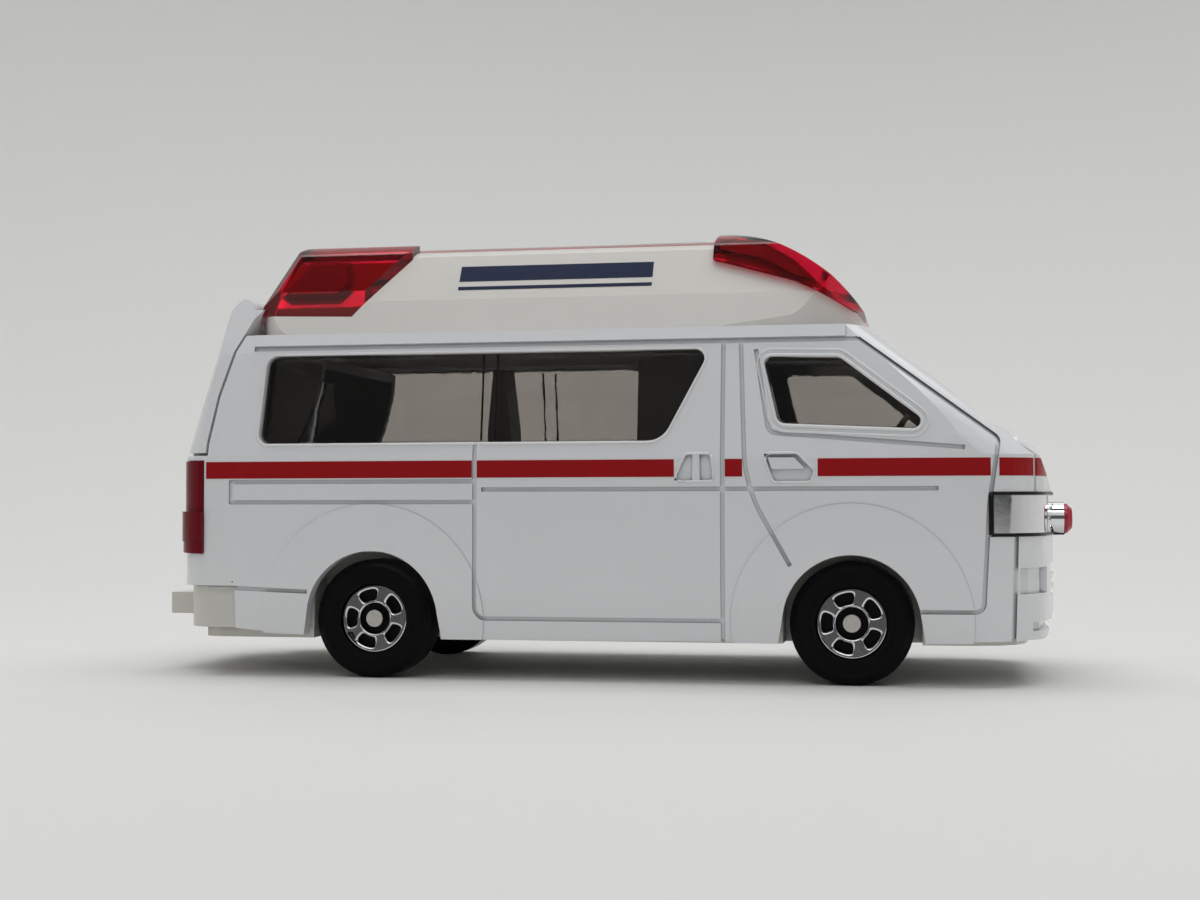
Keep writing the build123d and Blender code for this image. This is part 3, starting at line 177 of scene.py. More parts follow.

# ------------------------------------------------------------------ sizes of the beacons' cores
# Inner dark blocks of the beacons, painted shade of their hollow inside, each an outline in side
# view.
REAR_CORE = [(-28.6, 33.1), (-26.3, 36.2), (-22.6, 36.0), (-22.1, 34.0), (-23.0, 33.1)]
FRONT_CORE = [
    (10.2, 37.3),
    (10.2, 36.4),
    (12.6, 35.9),
    (14.0, 35.4),
    (15.4, 34.7),
    (17.4, 33.5),
    (18.6, 33.2),
    (16.6, 35.2),
    (13.9, 36.9),
]
# A core's foot and crown lie this deep inside the lens, and its crown is smaller by a share.
CORE_FOOT = 1.25
CORE_CROWN = 0.55
CORE_TAPER = 0.2

# ------------------------------------------------------------------ how surfaces are found
RAY_START = 60.0
NOSE_AHEAD = 90.0
NOSE_BISECTIONS = 24


# ------------------------------------------------------------------ node helpers
def new_material(name):
    """An empty material with its tree and shader."""
    material = bpy.data.materials.new(name)
    material.use_nodes = True
    tree = material.node_tree
    return material, tree, tree.nodes["Principled BSDF"]


def link(tree, out_socket, in_socket):
    """Join two sockets, the source first."""
    tree.links.new(out_socket, in_socket)


def position(tree):
    """Place on the object in millimetres."""
    coordinates = tree.nodes.new("ShaderNodeTexCoord")
    scale = tree.nodes.new("ShaderNodeVectorMath")
    scale.operation = "SCALE"
    scale.inputs["Scale"].default_value = 1 / MM
    link(tree, coordinates.outputs["Object"], scale.inputs[0])
    return scale.outputs["Vector"]


def noise(tree, place, scale, detail=3.0):
    """Soft noise between 0 and 1, scale patches to the millimetre."""
    node = tree.nodes.new("ShaderNodeTexNoise")
    node.inputs["Scale"].default_value = scale
    node.inputs["Detail"].default_value = detail
    link(tree, place, node.inputs["Vector"])
    return node.outputs["Fac"]


def remap(tree, value, low, high, from_low=0.0, from_high=1.0):
    """Map a value from one range onto another, clamped."""
    node = tree.nodes.new("ShaderNodeMapRange")
    node.inputs["From Min"].default_value = from_low
    node.inputs["From Max"].default_value = from_high
    node.inputs["To Min"].default_value = low
    node.inputs["To Max"].default_value = high
    link(tree, value, node.inputs["Value"])
    return node.outputs["Result"]


def calculate(tree, operation, first, second):
    """Result of a maths operation on two sockets or numbers."""
    node = tree.nodes.new("ShaderNodeMath")
    node.operation = operation
    for socket, value in zip(node.inputs, (first, second)):
        if isinstance(value, float):
            socket.default_value = value
        else:
            link(tree, value, socket)
    return node.outputs[0]


def bump(tree, shader, height, distance):
    """Let a pattern raise the surface by up to a distance."""
    node = tree.nodes.new("ShaderNodeBump")
    node.inputs["Distance"].default_value = distance * MM
    link(tree, height, node.inputs["Height"])
    link(tree, node.outputs["Normal"], shader.inputs["Normal"])


def mix_colours(tree, factor, first, second):
    """The first colour where factor is 0, the second where it is 1."""
    node = tree.nodes.new("ShaderNodeMix")
    node.data_type = "RGBA"
    link(tree, factor, node.inputs[0])
    for socket, value in ((node.inputs[6], first), (node.inputs[7], second)):
        if isinstance(value, tuple):
            socket.default_value = (*value, 1.0)
        else:
            link(tree, value, socket)
    return node.outputs[2]


def darker(colour, share):
    """The colour at a share of its brightness."""
    return tuple(share * c for c in colour)


def mottled(tree, pattern, colour, darkest):
    """The colour with patches that go down to a share of its brightness."""
    return mix_colours(tree, pattern, darker(colour, darkest), colour)


def roughen(tree, shader, pattern, low, high):
    """Let the roughness follow a pattern between two values."""
    link(tree, remap(tree, pattern, low, high), shader.inputs["Roughness"])


def crevices(tree, reach):
    """0 in grooves and inner corners, 1 on open faces: an occlusion factor, used to paint shade
    there.
    """
    node = tree.nodes.new("ShaderNodeAmbientOcclusion")
    node.samples = 8
    node.only_local = True
    node.inputs["Distance"].default_value = reach * MM
    return node.outputs["AO"]


def specks(tree, place, cell, radius, share):
    """1 on round specks in a share of the cells, 0 elsewhere."""
    node = tree.nodes.new("ShaderNodeTexVoronoi")
    node.inputs["Scale"].default_value = 1 / cell
    link(tree, place, node.inputs["Vector"])
    split = tree.nodes.new("ShaderNodeSeparateColor")
    link(tree, node.outputs["Color"], split.inputs["Color"])
    near = calculate(tree, "LESS_THAN", node.outputs["Distance"], radius / cell)
    chosen = calculate(tree, "LESS_THAN", split.outputs["Red"], share)
    return calculate(tree, "MULTIPLY", near, chosen)


# ------------------------------------------------------------------ materials
def moulded(name, colour, roughness, grain=0.004, subsurface=0.0, shade_reach=0.0, specular=0.5):
    """Injection-moulded plastic: flow mottling, fine grain, uneven gloss, and painted shade in
    corners where shade_reach is given.
    """
    material, tree, shader = new_material(name)
    place = position(tree)
    surface = mottled(tree, noise(tree, place, scale=0.25), colour, darkest=0.94)
    # Painted shade: corners and recesses darken towards 55 % of the colour.
    if shade_reach:
        occlusion = crevices(tree, shade_reach)
        open_face = remap(tree, occlusion, 0.0, 1.0, from_low=0.35, from_high=0.95)
        surface = mix_colours(tree, open_face, darker(colour, 0.55), surface)
    link(tree, surface, shader.inputs["Base Color"])
    roughen(tree, shader, noise(tree, place, scale=0.8), roughness * 0.8, roughness * 1.25)
    bump(tree, shader, noise(tree, place, scale=9.0), grain)
    shader.inputs["Specular IOR Level"].default_value = specular
    if subsurface:
        shader.inputs["Subsurface Weight"].default_value = subsurface
        shader.inputs["Subsurface Radius"].default_value = (1.0, 0.9, 0.8)
        shader.inputs["Subsurface Scale"].default_value = 0.6 * MM
    return material


def clear_plastic(name, colour, roughness=0.02):
    """Clear tinted moulding with faint flow waves in its surface."""
    material, tree, shader = new_material(name)
    place = position(tree)
    tint = mottled(tree, noise(tree, place, scale=0.2), colour, darkest=0.9)
    link(tree, tint, shader.inputs["Base Color"])
    shader.inputs["Transmission Weight"].default_value = 1.0
    shader.inputs["IOR"].default_value = 1.49
    roughen(tree, shader, noise(tree, place, scale=1.2), roughness * 0.5, roughness * 1.5)
    bump(tree, shader, noise(tree, place, scale=0.9), 0.006)
    return material


def plated(name, colour, roughness):
    """Bright metal with faint haze and handling marks."""
    material, tree, shader = new_material(name)
    place = position(tree)
    shader.inputs["Metallic"].default_value = 1.0
    haze = noise(tree, place, scale=1.6, detail=6.0)
    link(tree, mottled(tree, haze, colour, darkest=0.88), shader.inputs["Base Color"])
    roughen(tree, shader, haze, roughness * 0.6, roughness * 1.6)
    bump(tree, shader, noise(tree, place, scale=1.5), 0.0015)
    return material


def enamel(name, colour, groove_shade, speck):
    """Gloss enamel on a casting: orange peel, grooves darkened grey as painted shade that partly
    stands for thinner paint there, a few specks.
    """
    material, tree, shader = new_material(name)
    place = position(tree)
    flat = mottled(tree, noise(tree, place, scale=0.15), colour, darkest=0.97)
    # Grooves and inner corners darken towards the groove colour: painted shade, partly standing
    # for thinner paint in them.
    open_face = remap(tree, crevices(tree, reach=0.4), 0.0, 1.0, from_low=0.35, from_high=0.75)
    shaded_grooves = mix_colours(tree, open_face, groove_shade, flat)
    marks = specks(tree, place, cell=3.2, radius=0.075, share=0.16)
    link(tree, mix_colours(tree, marks, shaded_grooves, speck), shader.inputs["Base Color"])
    roughen(tree, shader, noise(tree, place, scale=0.5), 0.16, 0.26)
    shader.inputs["Coat Weight"].default_value = 0.5
    shader.inputs["Coat Roughness"].default_value = 0.06
    bump(tree, shader, noise(tree, place, scale=0.8, detail=1.0), 0.012)
    return material


def printed(name, colour):
    """Flat printed ink under a light gloss, with a slightly uneven film."""
    material, tree, shader = new_material(name)
    place = position(tree)
    ink = mottled(tree, noise(tree, place, scale=1.4), colour, darkest=0.9)
    link(tree, ink, shader.inputs["Base Color"])
    roughen(tree, shader, noise(tree, place, scale=2.0), 0.24, 0.36)
    shader.inputs["Specular IOR Level"].default_value = 0.2
    bump(tree, shader, noise(tree, place, scale=5.0), 0.003)
    return material


MATERIALS = {
    # The grey groove colour is painted shade in the panel lines, partly thinner paint.
    "white_paint": enamel(
        "white_enamel", (0.80, 0.81, 0.83), groove_shade=(0.36, 0.37, 0.39), speck=(0.12, 0.12, 0.12)
    ),
    "roof_white": moulded("roof_plastic", (0.72, 0.70, 0.665), 0.20, subsurface=0.15),
    "lamp_red": clear_plastic("lamp_red_clear", (0.74, 0.006, 0.038), roughness=0.08),
    "window_tint": clear_plastic("smoke_clear", (0.62, 0.59, 0.565)),
    "chrome": plated("chrome_plate", (0.86, 0.87, 0.88), 0.05),
    "flasher_red": moulded("flasher_red_plastic", (0.42, 0.01, 0.035), 0.18),
    # Dark red enamel lamps; shade_reach paints shade into their corners and grooves.
    "tail_lamp_red": moulded(
        "tail_lamp_enamel", (0.16, 0.004, 0.011), 0.2, shade_reach=0.4, specular=0.12
    ),
    # shade_reach paints shade into the chassis's corners and recesses.
    "chassis_white": moulded(
        "chassis_plastic", (0.70, 0.68, 0.63), 0.32, subsurface=0.1, shade_reach=0.6
    ),
    "interior_grey": moulded("interior_plastic", (0.085, 0.078, 0.072), 0.5, grain=0.01),
    "rivet_metal": plated("rivet_zinc", (0.60, 0.60, 0.60), 0.3),
    "axle_steel": plated("axle_wire", (0.62, 0.60, 0.57), 0.25),
    "wheel_black": moulded("wheel_gloss_black", (0.003, 0.003, 0.004), 0.3, specular=0.09),
}
STRIPE_INK = printed("stripe_ink", (0.35, 0.006, 0.010))
NAVY_INK = printed("navy_ink", (0.006, 0.015, 0.055))
# Black print for the window dividers, also used as painted shadow round the chrome band.
BLACK_TRIM_AND_SHADOW = printed("black_trim_and_shadow", (0.006, 0.006, 0.006))
WHEEL_CHROME = plated("wheel_chrome", (0.80, 0.80, 0.82), 0.06)
# Dark red for the beacons' inner blocks: painted shade of the hollow inside the lenses.
CORE_SHADE_RED = moulded("lamp_core_shade_red", (0.34, 0.003, 0.012), 0.15)

for row in frame["record"]["subparts"]:
    node = NODES[row["node"]]
    node.data.materials.clear()
    node.data.materials.append(MATERIALS[row["material_slot"]])


# ------------------------------------------------------------------ mesh helpers
def place_object(name, data):
    """A new object of the given data, in the scene."""
    made = bpy.data.objects.new(name, data)
    bpy.context.scene.collection.objects.link(made)
    return made


class Shape:
    """Vertices, in millimetres, and faces gathered for one piece."""

    def __init__(self):
        self.verts = []
        self.faces = []

    def add(self, verts, faces):
        """Put in one closed part, its faces numbered from its own first vertex."""
        start = len(self.verts)
        self.verts.extend(Vector(v) for v in verts)
        self.faces.extend([tuple(start + i for i in face) for face in faces])

    def make(self, name, material, body, smooth=False):
        """The piece itself, riding on a body and finished with the given material."""
        mesh = bpy.data.meshes.new(name)
        mesh.from_pydata([v * MM for v in self.verts], [], self.faces)
        mesh.polygons.foreach_set("use_smooth", [smooth] * len(self.faces))
        mesh.materials.append(material)
        mesh.validate()
        made = place_object(name, mesh)
        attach(made, body)


def skin(name):
    """Ray-cast tree over a CAD node, in millimetres."""
    mesh = NODES[name].data
    verts = [v.co / MM for v in mesh.vertices]
    return BVHTree.FromPolygons(verts, [list(face.vertices) for face in mesh.polygons])


def box_of(name):
    """Lowest and highest corners of a CAD node, in millimetres."""
    low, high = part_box(name)
    return low / MM, high / MM


def spread(low, high, step):
    """Evenly spaced values from low to high, no further apart than step."""
    count = max(1, math.ceil((high - low) / step))
    return [low + (high - low) * i / count for i in range(count + 1)]


def circle(radius, count):
    """Points round a circle in a plane of its own."""
    turns = [2 * math.pi * i / count for i in range(count)]
    return [Vector((radius * math.cos(t), radius * math.sin(t))) for t in turns]


def rim_indices(rows, columns):
    """Numbers of the points round the edge of a grid, in order."""
    rim = list(range(columns))
    rim += [i * columns + columns - 1 for i in range(1, rows)]
    rim += [(rows - 1) * columns + j for j in range(columns - 2, -1, -1)]
    rim += [i * columns for i in range(rows - 2, 0, -1)]
    return rim


def grid_slab(shape, outer, inner):
    """Closed slab between two equal grids of points, each a list of rows."""
    rows, columns = len(outer), len(outer[0])
    back = rows * columns
    faces = []
    for i in range(rows - 1):
        for j in range(columns - 1):
            a = i * columns + j
            b = a + columns
            faces.append((a, b, b + 1, a + 1))
            faces.append((back + a + 1, back + b + 1, back + b, back + a))
    rim = rim_indices(rows, columns)
    for first, second in zip(rim, rim[1:] + rim[:1]):
        faces.append((first, second, back + second, back + first))
    shape.add([p for row in outer + inner for p in row], faces)


def prism(shape, foot, crown):
    """Closed block between two outlines of as many points."""
    count = len(foot)
    faces = [tuple(range(count)), tuple(range(2 * count - 1, count - 1, -1))]
    for i in range(count):
        j = (i + 1) % count
        faces.append((i, count + i, count + j, j))
    shape.add(foot + crown, faces)


def tube_rings(points, radius, closed, sides):
    """Rings of points about a line, each turned as little as can be from the one before."""
    count = len(points)
    rings = []
    normal = None
    for i, point in enumerate(points):
        before = points[i - 1] if closed or i else point
        after = points[(i + 1) % count] if closed or i < count - 1 else point
        along = (after - before).normalized()
        if normal is None:
            helper = Vector((0, 0, 1)) if abs(along.z) < 0.9 else Vector((1, 0, 0))
            normal = along.cross(helper).normalized()
        normal = (normal - along * normal.dot(along)).normalized()
        other = along.cross(normal)
        rings.append([point + normal * p.x + other * p.y for p in circle(radius, sides)])
    return rings


def tube(shape, points, radius, closed, sides=8):
    """Round bead along a line of points, which is a loop where it is closed."""
    count = len(points)
    faces = []
    for i in range(count if closed else count - 1):
        a = i * sides
        b = (i + 1) % count * sides
        for k in range(sides):
            m = (k + 1) % sides
            faces.append((a + k, a + m, b + m, b + k))
    if not closed:
        faces.append(tuple(range(sides - 1, -1, -1)))
        faces.append(tuple((count - 1) * sides + k for k in range(sides)))
    rings = tube_rings(points, radius, closed, sides)
    shape.add([p for ring in rings for p in ring], faces)


# ------------------------------------------------------------------ places on the outer faces
def surface_point(tree, start, ahead):
    """Point and outward normal where a ray meets the object."""
    point, normal, index, distance = tree.ray_cast(start, ahead)
    if point is None:
        raise ValueError(f"no surface ahead of {start}")
    return point, normal if normal.dot(ahead) < 0 else -normal


def flank_hit(tree, x, z, side):
    """Point and outward normal on a flank, seen level from the side."""
    return surface_point(tree, Vector((x, side * RAY_START, z)), Vector((0, -side, 0)))


def nose_ray(turn, z, side):
    """Start and direction of a level ray towards the nose; turn is 0 at the flank, 90 ahead."""
    away = Vector((math.sin(math.radians(turn)), side * math.cos(math.radians(turn)), 0))
    return Vector((NOSE_CENTRE_X, 0, z)) + away * RAY_START, -away


def nose_hit(tree, turn, z, side):
    """Point and outward normal on the nose at a turn and a height."""
    return surface_point(tree, *nose_ray(turn, z, side))


def nose_turn(tree, x, z):
    """The turn at which nose_hit meets the given X."""
    low, high = 0.0, NOSE_AHEAD
    for step in range(NOSE_BISECTIONS):
        middle = (low + high) / 2
        point = tree.ray_cast(*nose_ray(middle, z, 1))[0]
        if point is None or point.x < x:
            low = middle
        else:
            high = middle
    return high


# ------------------------------------------------------------------ printed trim
def film(shape, hit, stations, low_z, high_z, rows=4):
    """Thin closed film between two heights; hit(station, z) gives a point and its normal."""
    outer = []
    inner = []
    for station in stations:
        hits = [hit(station, z) for z in spread(low_z, high_z, (high_z - low_z) / rows)]
        outer.append([point + normal * FILM_LIFT for point, normal in hits])
        inner.append([point - normal * FILM_SINK for point, normal in hits])
    grid_slab(shape, outer, inner)


def flank_film(shape, tree, side, places, low_z, high_z, rows=4):
    """Film on one flank, from the first to the last of the places along X."""
    film(shape, lambda x, z: flank_hit(tree, x, z, side), places, low_z, high_z, rows)


def stripe():
    """Red stripe round both flanks and the nose, broken at door gaps and handles."""
    tree = skin("body_shell")
    shape = Shape()
    for side in FLANKS.values():
        for rear_x, front_x in STRIPE_RUNS:
            places = spread(rear_x, front_x, STRIPE_STEP)
            flank_film(shape, tree, side, places, STRIPE_LOW_Z, STRIPE_TOP_Z)
    start = nose_turn(tree, STRIPE_NOSE_X, (STRIPE_LOW_Z + STRIPE_TOP_Z) / 2)
    turns = spread(start, NOSE_AHEAD, STRIPE_NOSE_STEP)
    for side in FLANKS.values():
        film(
            shape,
            lambda turn, z: nose_hit(tree, turn, z, side),
            turns,
            STRIPE_LOW_Z,
            STRIPE_TOP_Z,
            STRIPE_NOSE_ROWS,
        )
    shape.make("red_stripe", STRIPE_INK, "root")


def roof_bars():
    """Plain navy trim lines on both sides of the raised roof."""
    tree = skin("high_roof")
    shape = Shape()
    places = spread(BAR_REAR_X, BAR_FRONT_X, BAR_STEP)
    for side in FLANKS.values():
        for low_z, high_z in ROOF_BARS:
            flank_film(shape, tree, side, places, low_z, high_z)
    shape.make("roof_side_bars", NAVY_INK, "root")


def window_dividers():
    """Black uprights between the two panes of each side window."""
    tree = skin("glazing")
    shape = Shape()
    for side in FLANKS.values():
        for x in DIVIDER_X:
            places = spread(x - DIVIDER_W / 2, x + DIVIDER_W / 2, DIVIDER_W / 2)
            flank_film(shape, tree, side, places, PANE_LOW_Z, PANE_TOP_Z, DIVIDER_ROWS)
    shape.make("window_dividers", BLACK_TRIM_AND_SHADOW, "root")


# ------------------------------------------------------------------ raised rims
def corner_arc(before, here, after, radius, grow):
    """Arc that rounds one convex corner of an outline, grown outwards."""
    back = (before - here).normalized()
    ahead = (after - here).normalized()
    half = back.angle(ahead) / 2
    inward = (back + ahead).normalized()
    centre = here + inward * (radius / math.sin(half))
    outward = math.atan2(-inward.y, -inward.x)
    sign = 1 if back.x * ahead.y < back.y * ahead.x else -1
    arc = []
    for step in range(-CORNER_HALF_STEPS, CORNER_HALF_STEPS + 1):
        angle = outward + sign * (math.pi / 2 - half) * step / CORNER_HALF_STEPS
        arc.append(centre + (radius + grow) * Vector((math.cos(angle), math.sin(angle))))
    return arc


def round_corners(corners, grow):
    """Outline with rounded corners (x, z, radius), grown outwards, in short steps."""
    places = [Vector((x, z)) for x, z, radius in corners]
    points = []
    for i, (x, z, radius) in enumerate(corners):
        after = places[(i + 1) % len(places)]
        points += corner_arc(places[i - 1], places[i], after, radius, grow)
    outline = []
    for here, there in zip(points, points[1:] + points[:1]):
        steps = max(1, round((there - here).length / OUTLINE_STEP))
        outline += [here.lerp(there, k / steps) for k in range(steps)]
    return outline


def flank_rims():
    """Raised enamel rims round the windows and door handles."""
    tree = skin("body_shell")
    shape = Shape()
    for side in FLANKS.values():
        for corners, grow, bead in FLANK_RIMS:
            path = [flank_hit(tree, p.x, p.y, side)[0] for p in round_corners(corners, grow)]
            tube(shape, path, bead, closed=True)
    shape.make("flank_rims", MATERIALS["white_paint"], "root", smooth=True)


def headlamp_shadow_bead():
    """Black bead as painted shadow round the chrome band, along its top, foot and both rear ends.
    """
    tree = skin("headlamp_insert")
    low, high = box_of("headlamp_insert")
    top_z = high.z - SHADOW_TOP_INSET
    low_z = low.z + SHADOW_FOOT_INSET
    start = nose_turn(tree, low.x + SHADOW_END_INSET, (top_z + low_z) / 2)
    shape = Shape()
    for z in (top_z, low_z):
        for side in FLANKS.values():
            turns = spread(start, NOSE_AHEAD, SHADOW_NOSE_STEP)
            path = [nose_hit(tree, turn, z, side)[0] for turn in turns]
            tube(shape, path, SHADOW_R, closed=False)
    for side in FLANKS.values():
        path = [nose_hit(tree, start, z, side)[0] for z in spread(low_z, top_z, SHADOW_END_STEP)]
        tube(shape, path, SHADOW_END_R, closed=False)
    shape.make("headlamp_shadow_bead", BLACK_TRIM_AND_SHADOW, "root", smooth=True)


# ------------------------------------------------------------------ wheels
def blend_line(start, end, steps):
    """Pairs of values from start up to but not including end."""
    return [tuple(a + (b - a) * i / steps for a, b in zip(start, end)) for i in range(steps)]


def slot_outline(middle, grow):
    """Rounded outline of one opening in the disc's plane, grown outwards by a distance."""
    half = math.radians(SLOT_HALF_ANGLE)
    in_r, out_r = SLOT_IN_R - grow, SLOT_OUT_R + grow
    in_half, out_half = half + grow / in_r, half + grow / out_r
    path = blend_line((in_r, -in_half), (in_r, in_half), SLOT_ARC_STEPS)
    path += blend_line((in_r, in_half), (out_r, out_half), SLOT_END_STEPS)
    path += blend_line((out_r, out_half), (out_r, -out_half), SLOT_ARC_STEPS)
    path += blend_line((out_r, -out_half), (in_r, -in_half), SLOT_END_STEPS)
    flat = [Vector((r * math.cos(middle + t), r * math.sin(middle + t))) for r, t in path]
    for again in range(SLOT_ROUNDING):
        ahead = flat[1:] + flat[:1]
        flat = [(flat[i - 1] + flat[i] * 2 + ahead[i]) / 4 for i in range(len(flat))]
    return flat


def disc_outlines(disc_r):
    """The rim, the eye and the openings, each a function of how far its edge is cut back."""
    outlines = [
        lambda grow: circle(disc_r - grow, DISC_SIDES),
        lambda grow: circle(EYE_R + grow, DISC_SIDES),
    ]
    for k in range(SLOT_COUNT):
        middle = math.radians(SLOT_TURN) + 2 * math.pi * k / SLOT_COUNT
        outlines.append(lambda grow, middle=middle: slot_outline(middle, grow))
    return outlines


def edge_profile(thick):
    """Section of a rounded edge, from the face to the back: how far cut back, and height."""
    profile = []
    for k in range(EDGE_STEPS + 1):
        turn = math.pi / 2 * k / EDGE_STEPS
        profile.append((EDGE_R * (1 - math.sin(turn)), -EDGE_R * (1 - math.cos(turn))))
    profile.append((0.0, -thick))
    return profile


def join_rings(work, rings):
    """Faces between rings of vertices, smooth but for the straight step to the back."""
    for front, behind in zip(rings, rings[1:]):
        for i in range(len(front)):
            face = work.faces.new((front[i - 1], front[i], behind[i], behind[i - 1]))
            face.smooth = behind is not rings[-1]


def disc_mesh(name, disc_r, thick):
    """Wheel disc in its own plane: X and Y across, Z out of the face, edges rounded."""
    work = bmesh.new()
    face_edges = []
    back_edges = []
    for outline in disc_outlines(disc_r):
        rings = []
        for grow, z in edge_profile(thick):
            rings.append([work.verts.new((p.x * MM, p.y * MM, z * MM)) for p in outline(grow)])
        join_rings(work, rings)
        for ring, edges in ((rings[0], face_edges), (rings[-1], back_edges)):
            edges += [work.edges.get((ring[i - 1], ring[i])) for i in range(len(ring))]
    bmesh.ops.triangle_fill(work, use_beauty=True, edges=face_edges, normal=(0, 0, 1))
    bmesh.ops.triangle_fill(work, use_beauty=True, edges=back_edges, normal=(0, 0, -1))
    bmesh.ops.recalc_face_normals(work, faces=work.faces)
    mesh = bpy.data.meshes.new(name)
    work.to_mesh(mesh)
    work.free()
    mesh.materials.append(WHEEL_CHROME)
    return mesh


def outer_face(node, side):
    """Centre of the outer face of a wheel's part, with the part's corners."""
    low, high = box_of(node)
    face_y = low.y if side < 0 else high.y
    return Vector(((low.x + high.x) / 2, face_y, (low.z + high.z) / 2)), low, high


def disc(end, flank):
    """Chrome wheel disc with rounded openings, in the place of the plain hub."""
    node = f"hub_{end}_{flank}"
    side = FLANKS[flank]
    centre, low, high = outer_face(node, side)
    name = f"wheel_disc_{end}_{flank}"
    mesh = disc_mesh(name, (high.x - low.x) / 2, high.y - low.y)
    out = Vector((0, side, math.tan(math.radians(DISC_LEAN)))).normalized()
    up = Vector((0, -side * out.z, side * out.y)).normalized()
    turn = Matrix((up.cross(out), up, out)).transposed().to_4x4()
    mesh.transform(Matrix.Translation(centre * MM) @ turn)
    made = place_object(name, mesh)
    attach(made, f"{end}_wheels")
    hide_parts(node)


def tyre_lines(end, flank):
    """Raised moulding lines on a tyre's side."""
    side = FLANKS[flank]
    centre, low, high = outer_face(f"tyre_{end}_{flank}", side)
    shape = Shape()
    for radius, bead in SIDEWALL_RINGS:
        inward = -side * bead * SIDEWALL_SINK_SHARE
        path = [centre + Vector((p.x, inward, p.y)) for p in circle(radius, SIDEWALL_SIDES)]
        tube(shape, path, bead, closed=True, sides=SIDEWALL_BEAD_SIDES)
    name = f"tyre_lines_{end}_{flank}"
    shape.make(name, MATERIALS["wheel_black"], f"{end}_wheels", smooth=True)


def wheels():
    """Discs and moulding lines of all four wheels."""
    for end in ("front", "rear"):
        for flank in FLANKS:
            disc(end, flank)
            tyre_lines(end, flank)


# ------------------------------------------------------------------ beacons
def core_point(tree, x, z, side, depth):
    """Point a level depth inside the lens's outer face."""
    face, normal = flank_hit(tree, x, z, side)
    return face - Vector((0, side * depth, 0))


def core_block(shape, tree, outline, side):
    """One inner block of a beacon, its crown drawn in towards the outline's middle."""
    middle_x = sum(x for x, z in outline) / len(outline)
    middle_z = sum(z for x, z in outline) / len(outline)
    foot = [core_point(tree, x, z, side, CORE_FOOT) for x, z in outline]
    crown = []
    for x, z in outline:
        near_x = x + CORE_TAPER * (middle_x - x)
        near_z = z + CORE_TAPER * (middle_z - z)
        crown.append(core_point(tree, near_x, near_z, side, CORE_CROWN))
    prism(shape, foot, crown)


def lamp_cores():
    """Dark red faceted blocks inside the clear beacons, painted shade of their deep hollow
    inside.
    """
    tree = skin("roof_lamps")
    shape = Shape()
    for side in FLANKS.values():
        for outline in (REAR_CORE, FRONT_CORE):
            core_block(shape, tree, outline, side)
    shape.make("beacon_cores", CORE_SHADE_RED, "root")


# ------------------------------------------------------------------ studio
def wall_share(angle):
    """How far the paper rises at an angle about the bowl, 0 on the camera's side."""
    away = abs((angle - CAMERA_SIDE_ANGLE + 180) % 360 - 180)
    share = (away - OPEN_HALF_ANGLE) / OPEN_BLEND_ANGLE
    share = min(1.0, max(0.0, share))
    return share * share * (3 - 2 * share)


def bowl_profile():
    """Section of the bowl from its flat floor up the wall: radius and height."""
    profile = [(BOWL_FLOOR_R, 0.0)]
    for i in range(1, BOWL_CURVE_STEPS + 1):
        turn = math.pi / 2 * i / BOWL_CURVE_STEPS
        out = BOWL_FLOOR_R + BOWL_CURVE_R * math.sin(turn)
        profile.append((out, BOWL_CURVE_R * (1 - math.cos(turn))))
    profile.append((BOWL_FLOOR_R + BOWL_CURVE_R + BOWL_WALL_LEAN, BOWL_WALL_Z))
    return profile


def bowl_spoke(angle):
    """The section at an angle, lower and drawn out where the bowl opens to the camera."""
    share = wall_share(angle)
    stretch = 1 + OPEN_STRETCH * (1 - share)
    turn = math.radians(angle)
    spoke = []
    for radius, z in bowl_profile():
        out = BOWL_FLOOR_R + (radius - BOWL_FLOOR_R) * stretch
        spoke.append((out * math.cos(turn), BOWL_Y + out * math.sin(turn), z * share))
    return spoke


def bowl_mesh():
    """Round paper floor that curves up into a wall everywhere but on the camera's side."""
    verts = [(0.0, BOWL_Y, 0.0)]
    faces = []
    count = len(bowl_profile())
    for i in range(BOWL_SIDES):
        verts += bowl_spoke(360 * i / BOWL_SIDES)
        a = 1 + i * count
        b = 1 + (i + 1) % BOWL_SIDES * count
        faces.append((0, a, b))
        faces += [(a + k, a + k + 1, b + k + 1, b + k) for k in range(count - 1)]
    mesh = bpy.data.meshes.new("studio_paper")
    mesh.from_pydata([Vector(v) * MM for v in verts], [], faces)
    mesh.polygons.foreach_set("use_smooth", [True] * len(faces))
    return mesh


def open_below(tree, shader):
    """Make the paper see-through from behind, so the toy's underside can be looked at."""
    geometry = tree.nodes.new("ShaderNodeNewGeometry")
    clear = tree.nodes.new("ShaderNodeBsdfTransparent")
    mix = tree.nodes.new("ShaderNodeMixShader")
    link(tree, geometry.outputs["Backfacing"], mix.inputs["Fac"])
    link(tree, shader.outputs["BSDF"], mix.inputs[1])
    link(tree, clear.outputs["BSDF"], mix.inputs[2])
    link(tree, mix.outputs["Shader"], tree.nodes["Material Output"].inputs["Surface"])


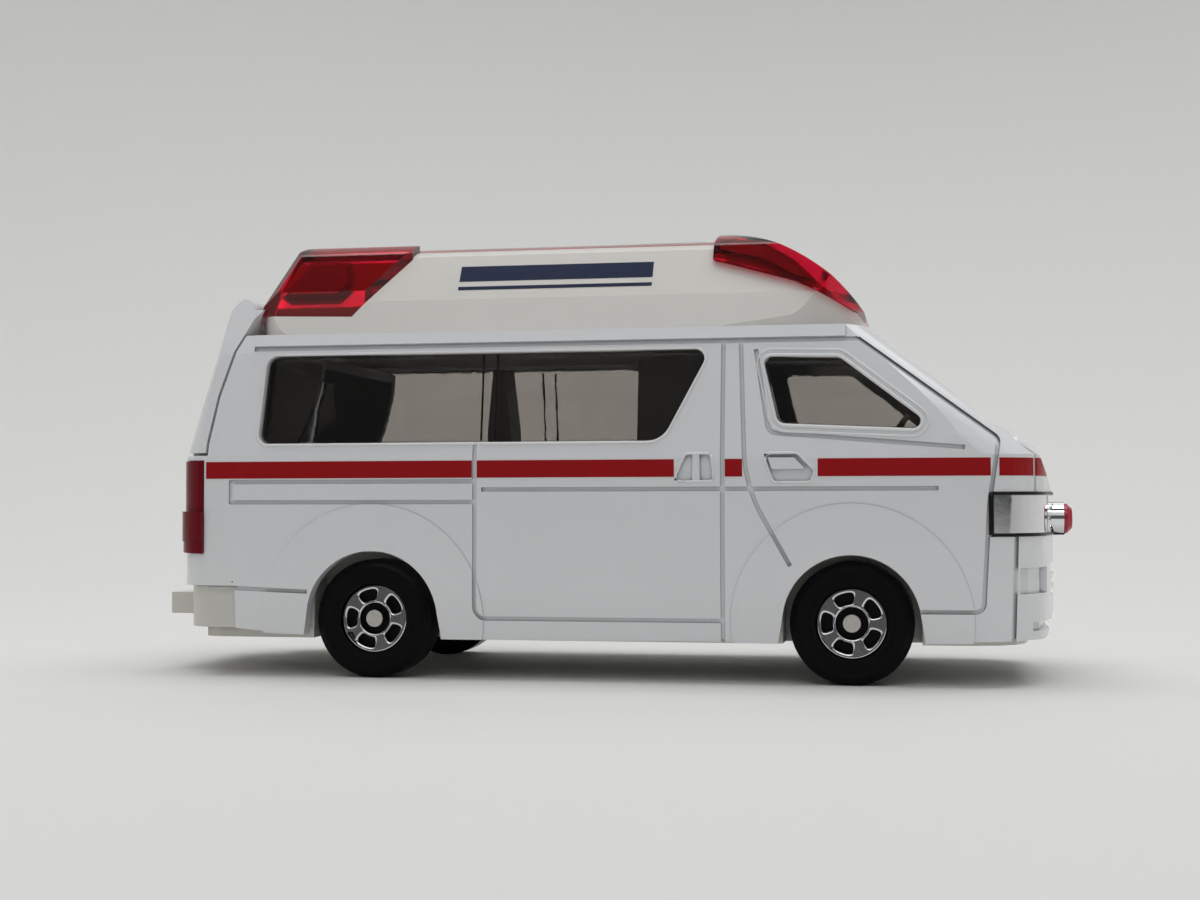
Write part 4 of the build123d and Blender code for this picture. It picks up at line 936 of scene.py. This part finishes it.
def paper():
    """Floor and backdrop in one sheet of pale paper."""
    material, tree, shader = new_material("studio_paper")
    shader.inputs["Base Color"].default_value = PAPER
    shader.inputs["Roughness"].default_value = PAPER_ROUGHNESS
    shader.inputs["Specular IOR Level"].default_value = PAPER_SPECULAR
    open_below(tree, shader)
    made = place_object("studio_paper", bowl_mesh())
    made.data.materials.append(material)


def area_light(name, place, target, size, watts):
    """Softbox at a place, turned to a target."""
    light = bpy.data.lights.new(name, "AREA")
    light.shape = "RECTANGLE"
    light.size, light.size_y = size[0] * MM, size[1] * MM
    light.energy = watts
    made = place_object(name, light)
    made.location = Vector(place) * MM
    aim = (Vector(target) - Vector(place)).to_track_quat("-Z", "Y")
    made.rotation_euler = aim.to_euler()


def studio():
    """Paper, dim air and softboxes."""
    paper()
    world = bpy.data.worlds.new("studio_air")
    world.use_nodes = True
    background = world.node_tree.nodes["Background"]
    background.inputs["Color"].default_value = WORLD_COLOUR
    background.inputs["Strength"].default_value = WORLD_STRENGTH
    bpy.context.scene.world = world
    for name, (place, target, size, watts) in SOFTBOXES.items():
        area_light(name, place, target, size, watts)


def camera():
    """The photograph's viewpoint."""
    data = bpy.data.cameras.new("camera")
    data.sensor_width = SENSOR_WIDTH
    data.lens = CAMERA_LENS
    data.clip_start = CLIP_START * MM
    data.clip_end = CLIP_END * MM
    made = place_object("camera", data)
    made.location = Vector(CAMERA_PLACE) * MM
    yaw, pitch = math.radians(CAMERA_YAW), math.radians(CAMERA_PITCH)
    level = math.cos(pitch)
    ahead = Vector((math.sin(yaw) * level, math.cos(yaw) * level, math.sin(pitch)))
    roll = Euler((0, 0, math.radians(CAMERA_ROLL))).to_quaternion()
    made.rotation_mode = "QUATERNION"
    made.rotation_quaternion = ahead.to_track_quat("-Z", "Y") @ roll
    bpy.context.scene.camera = made


camera()
studio()
stripe()
roof_bars()
window_dividers()
flank_rims()
headlamp_shadow_bead()
wheels()
lamp_cores()
bpy.context.scene.view_settings.view_transform = "Standard"
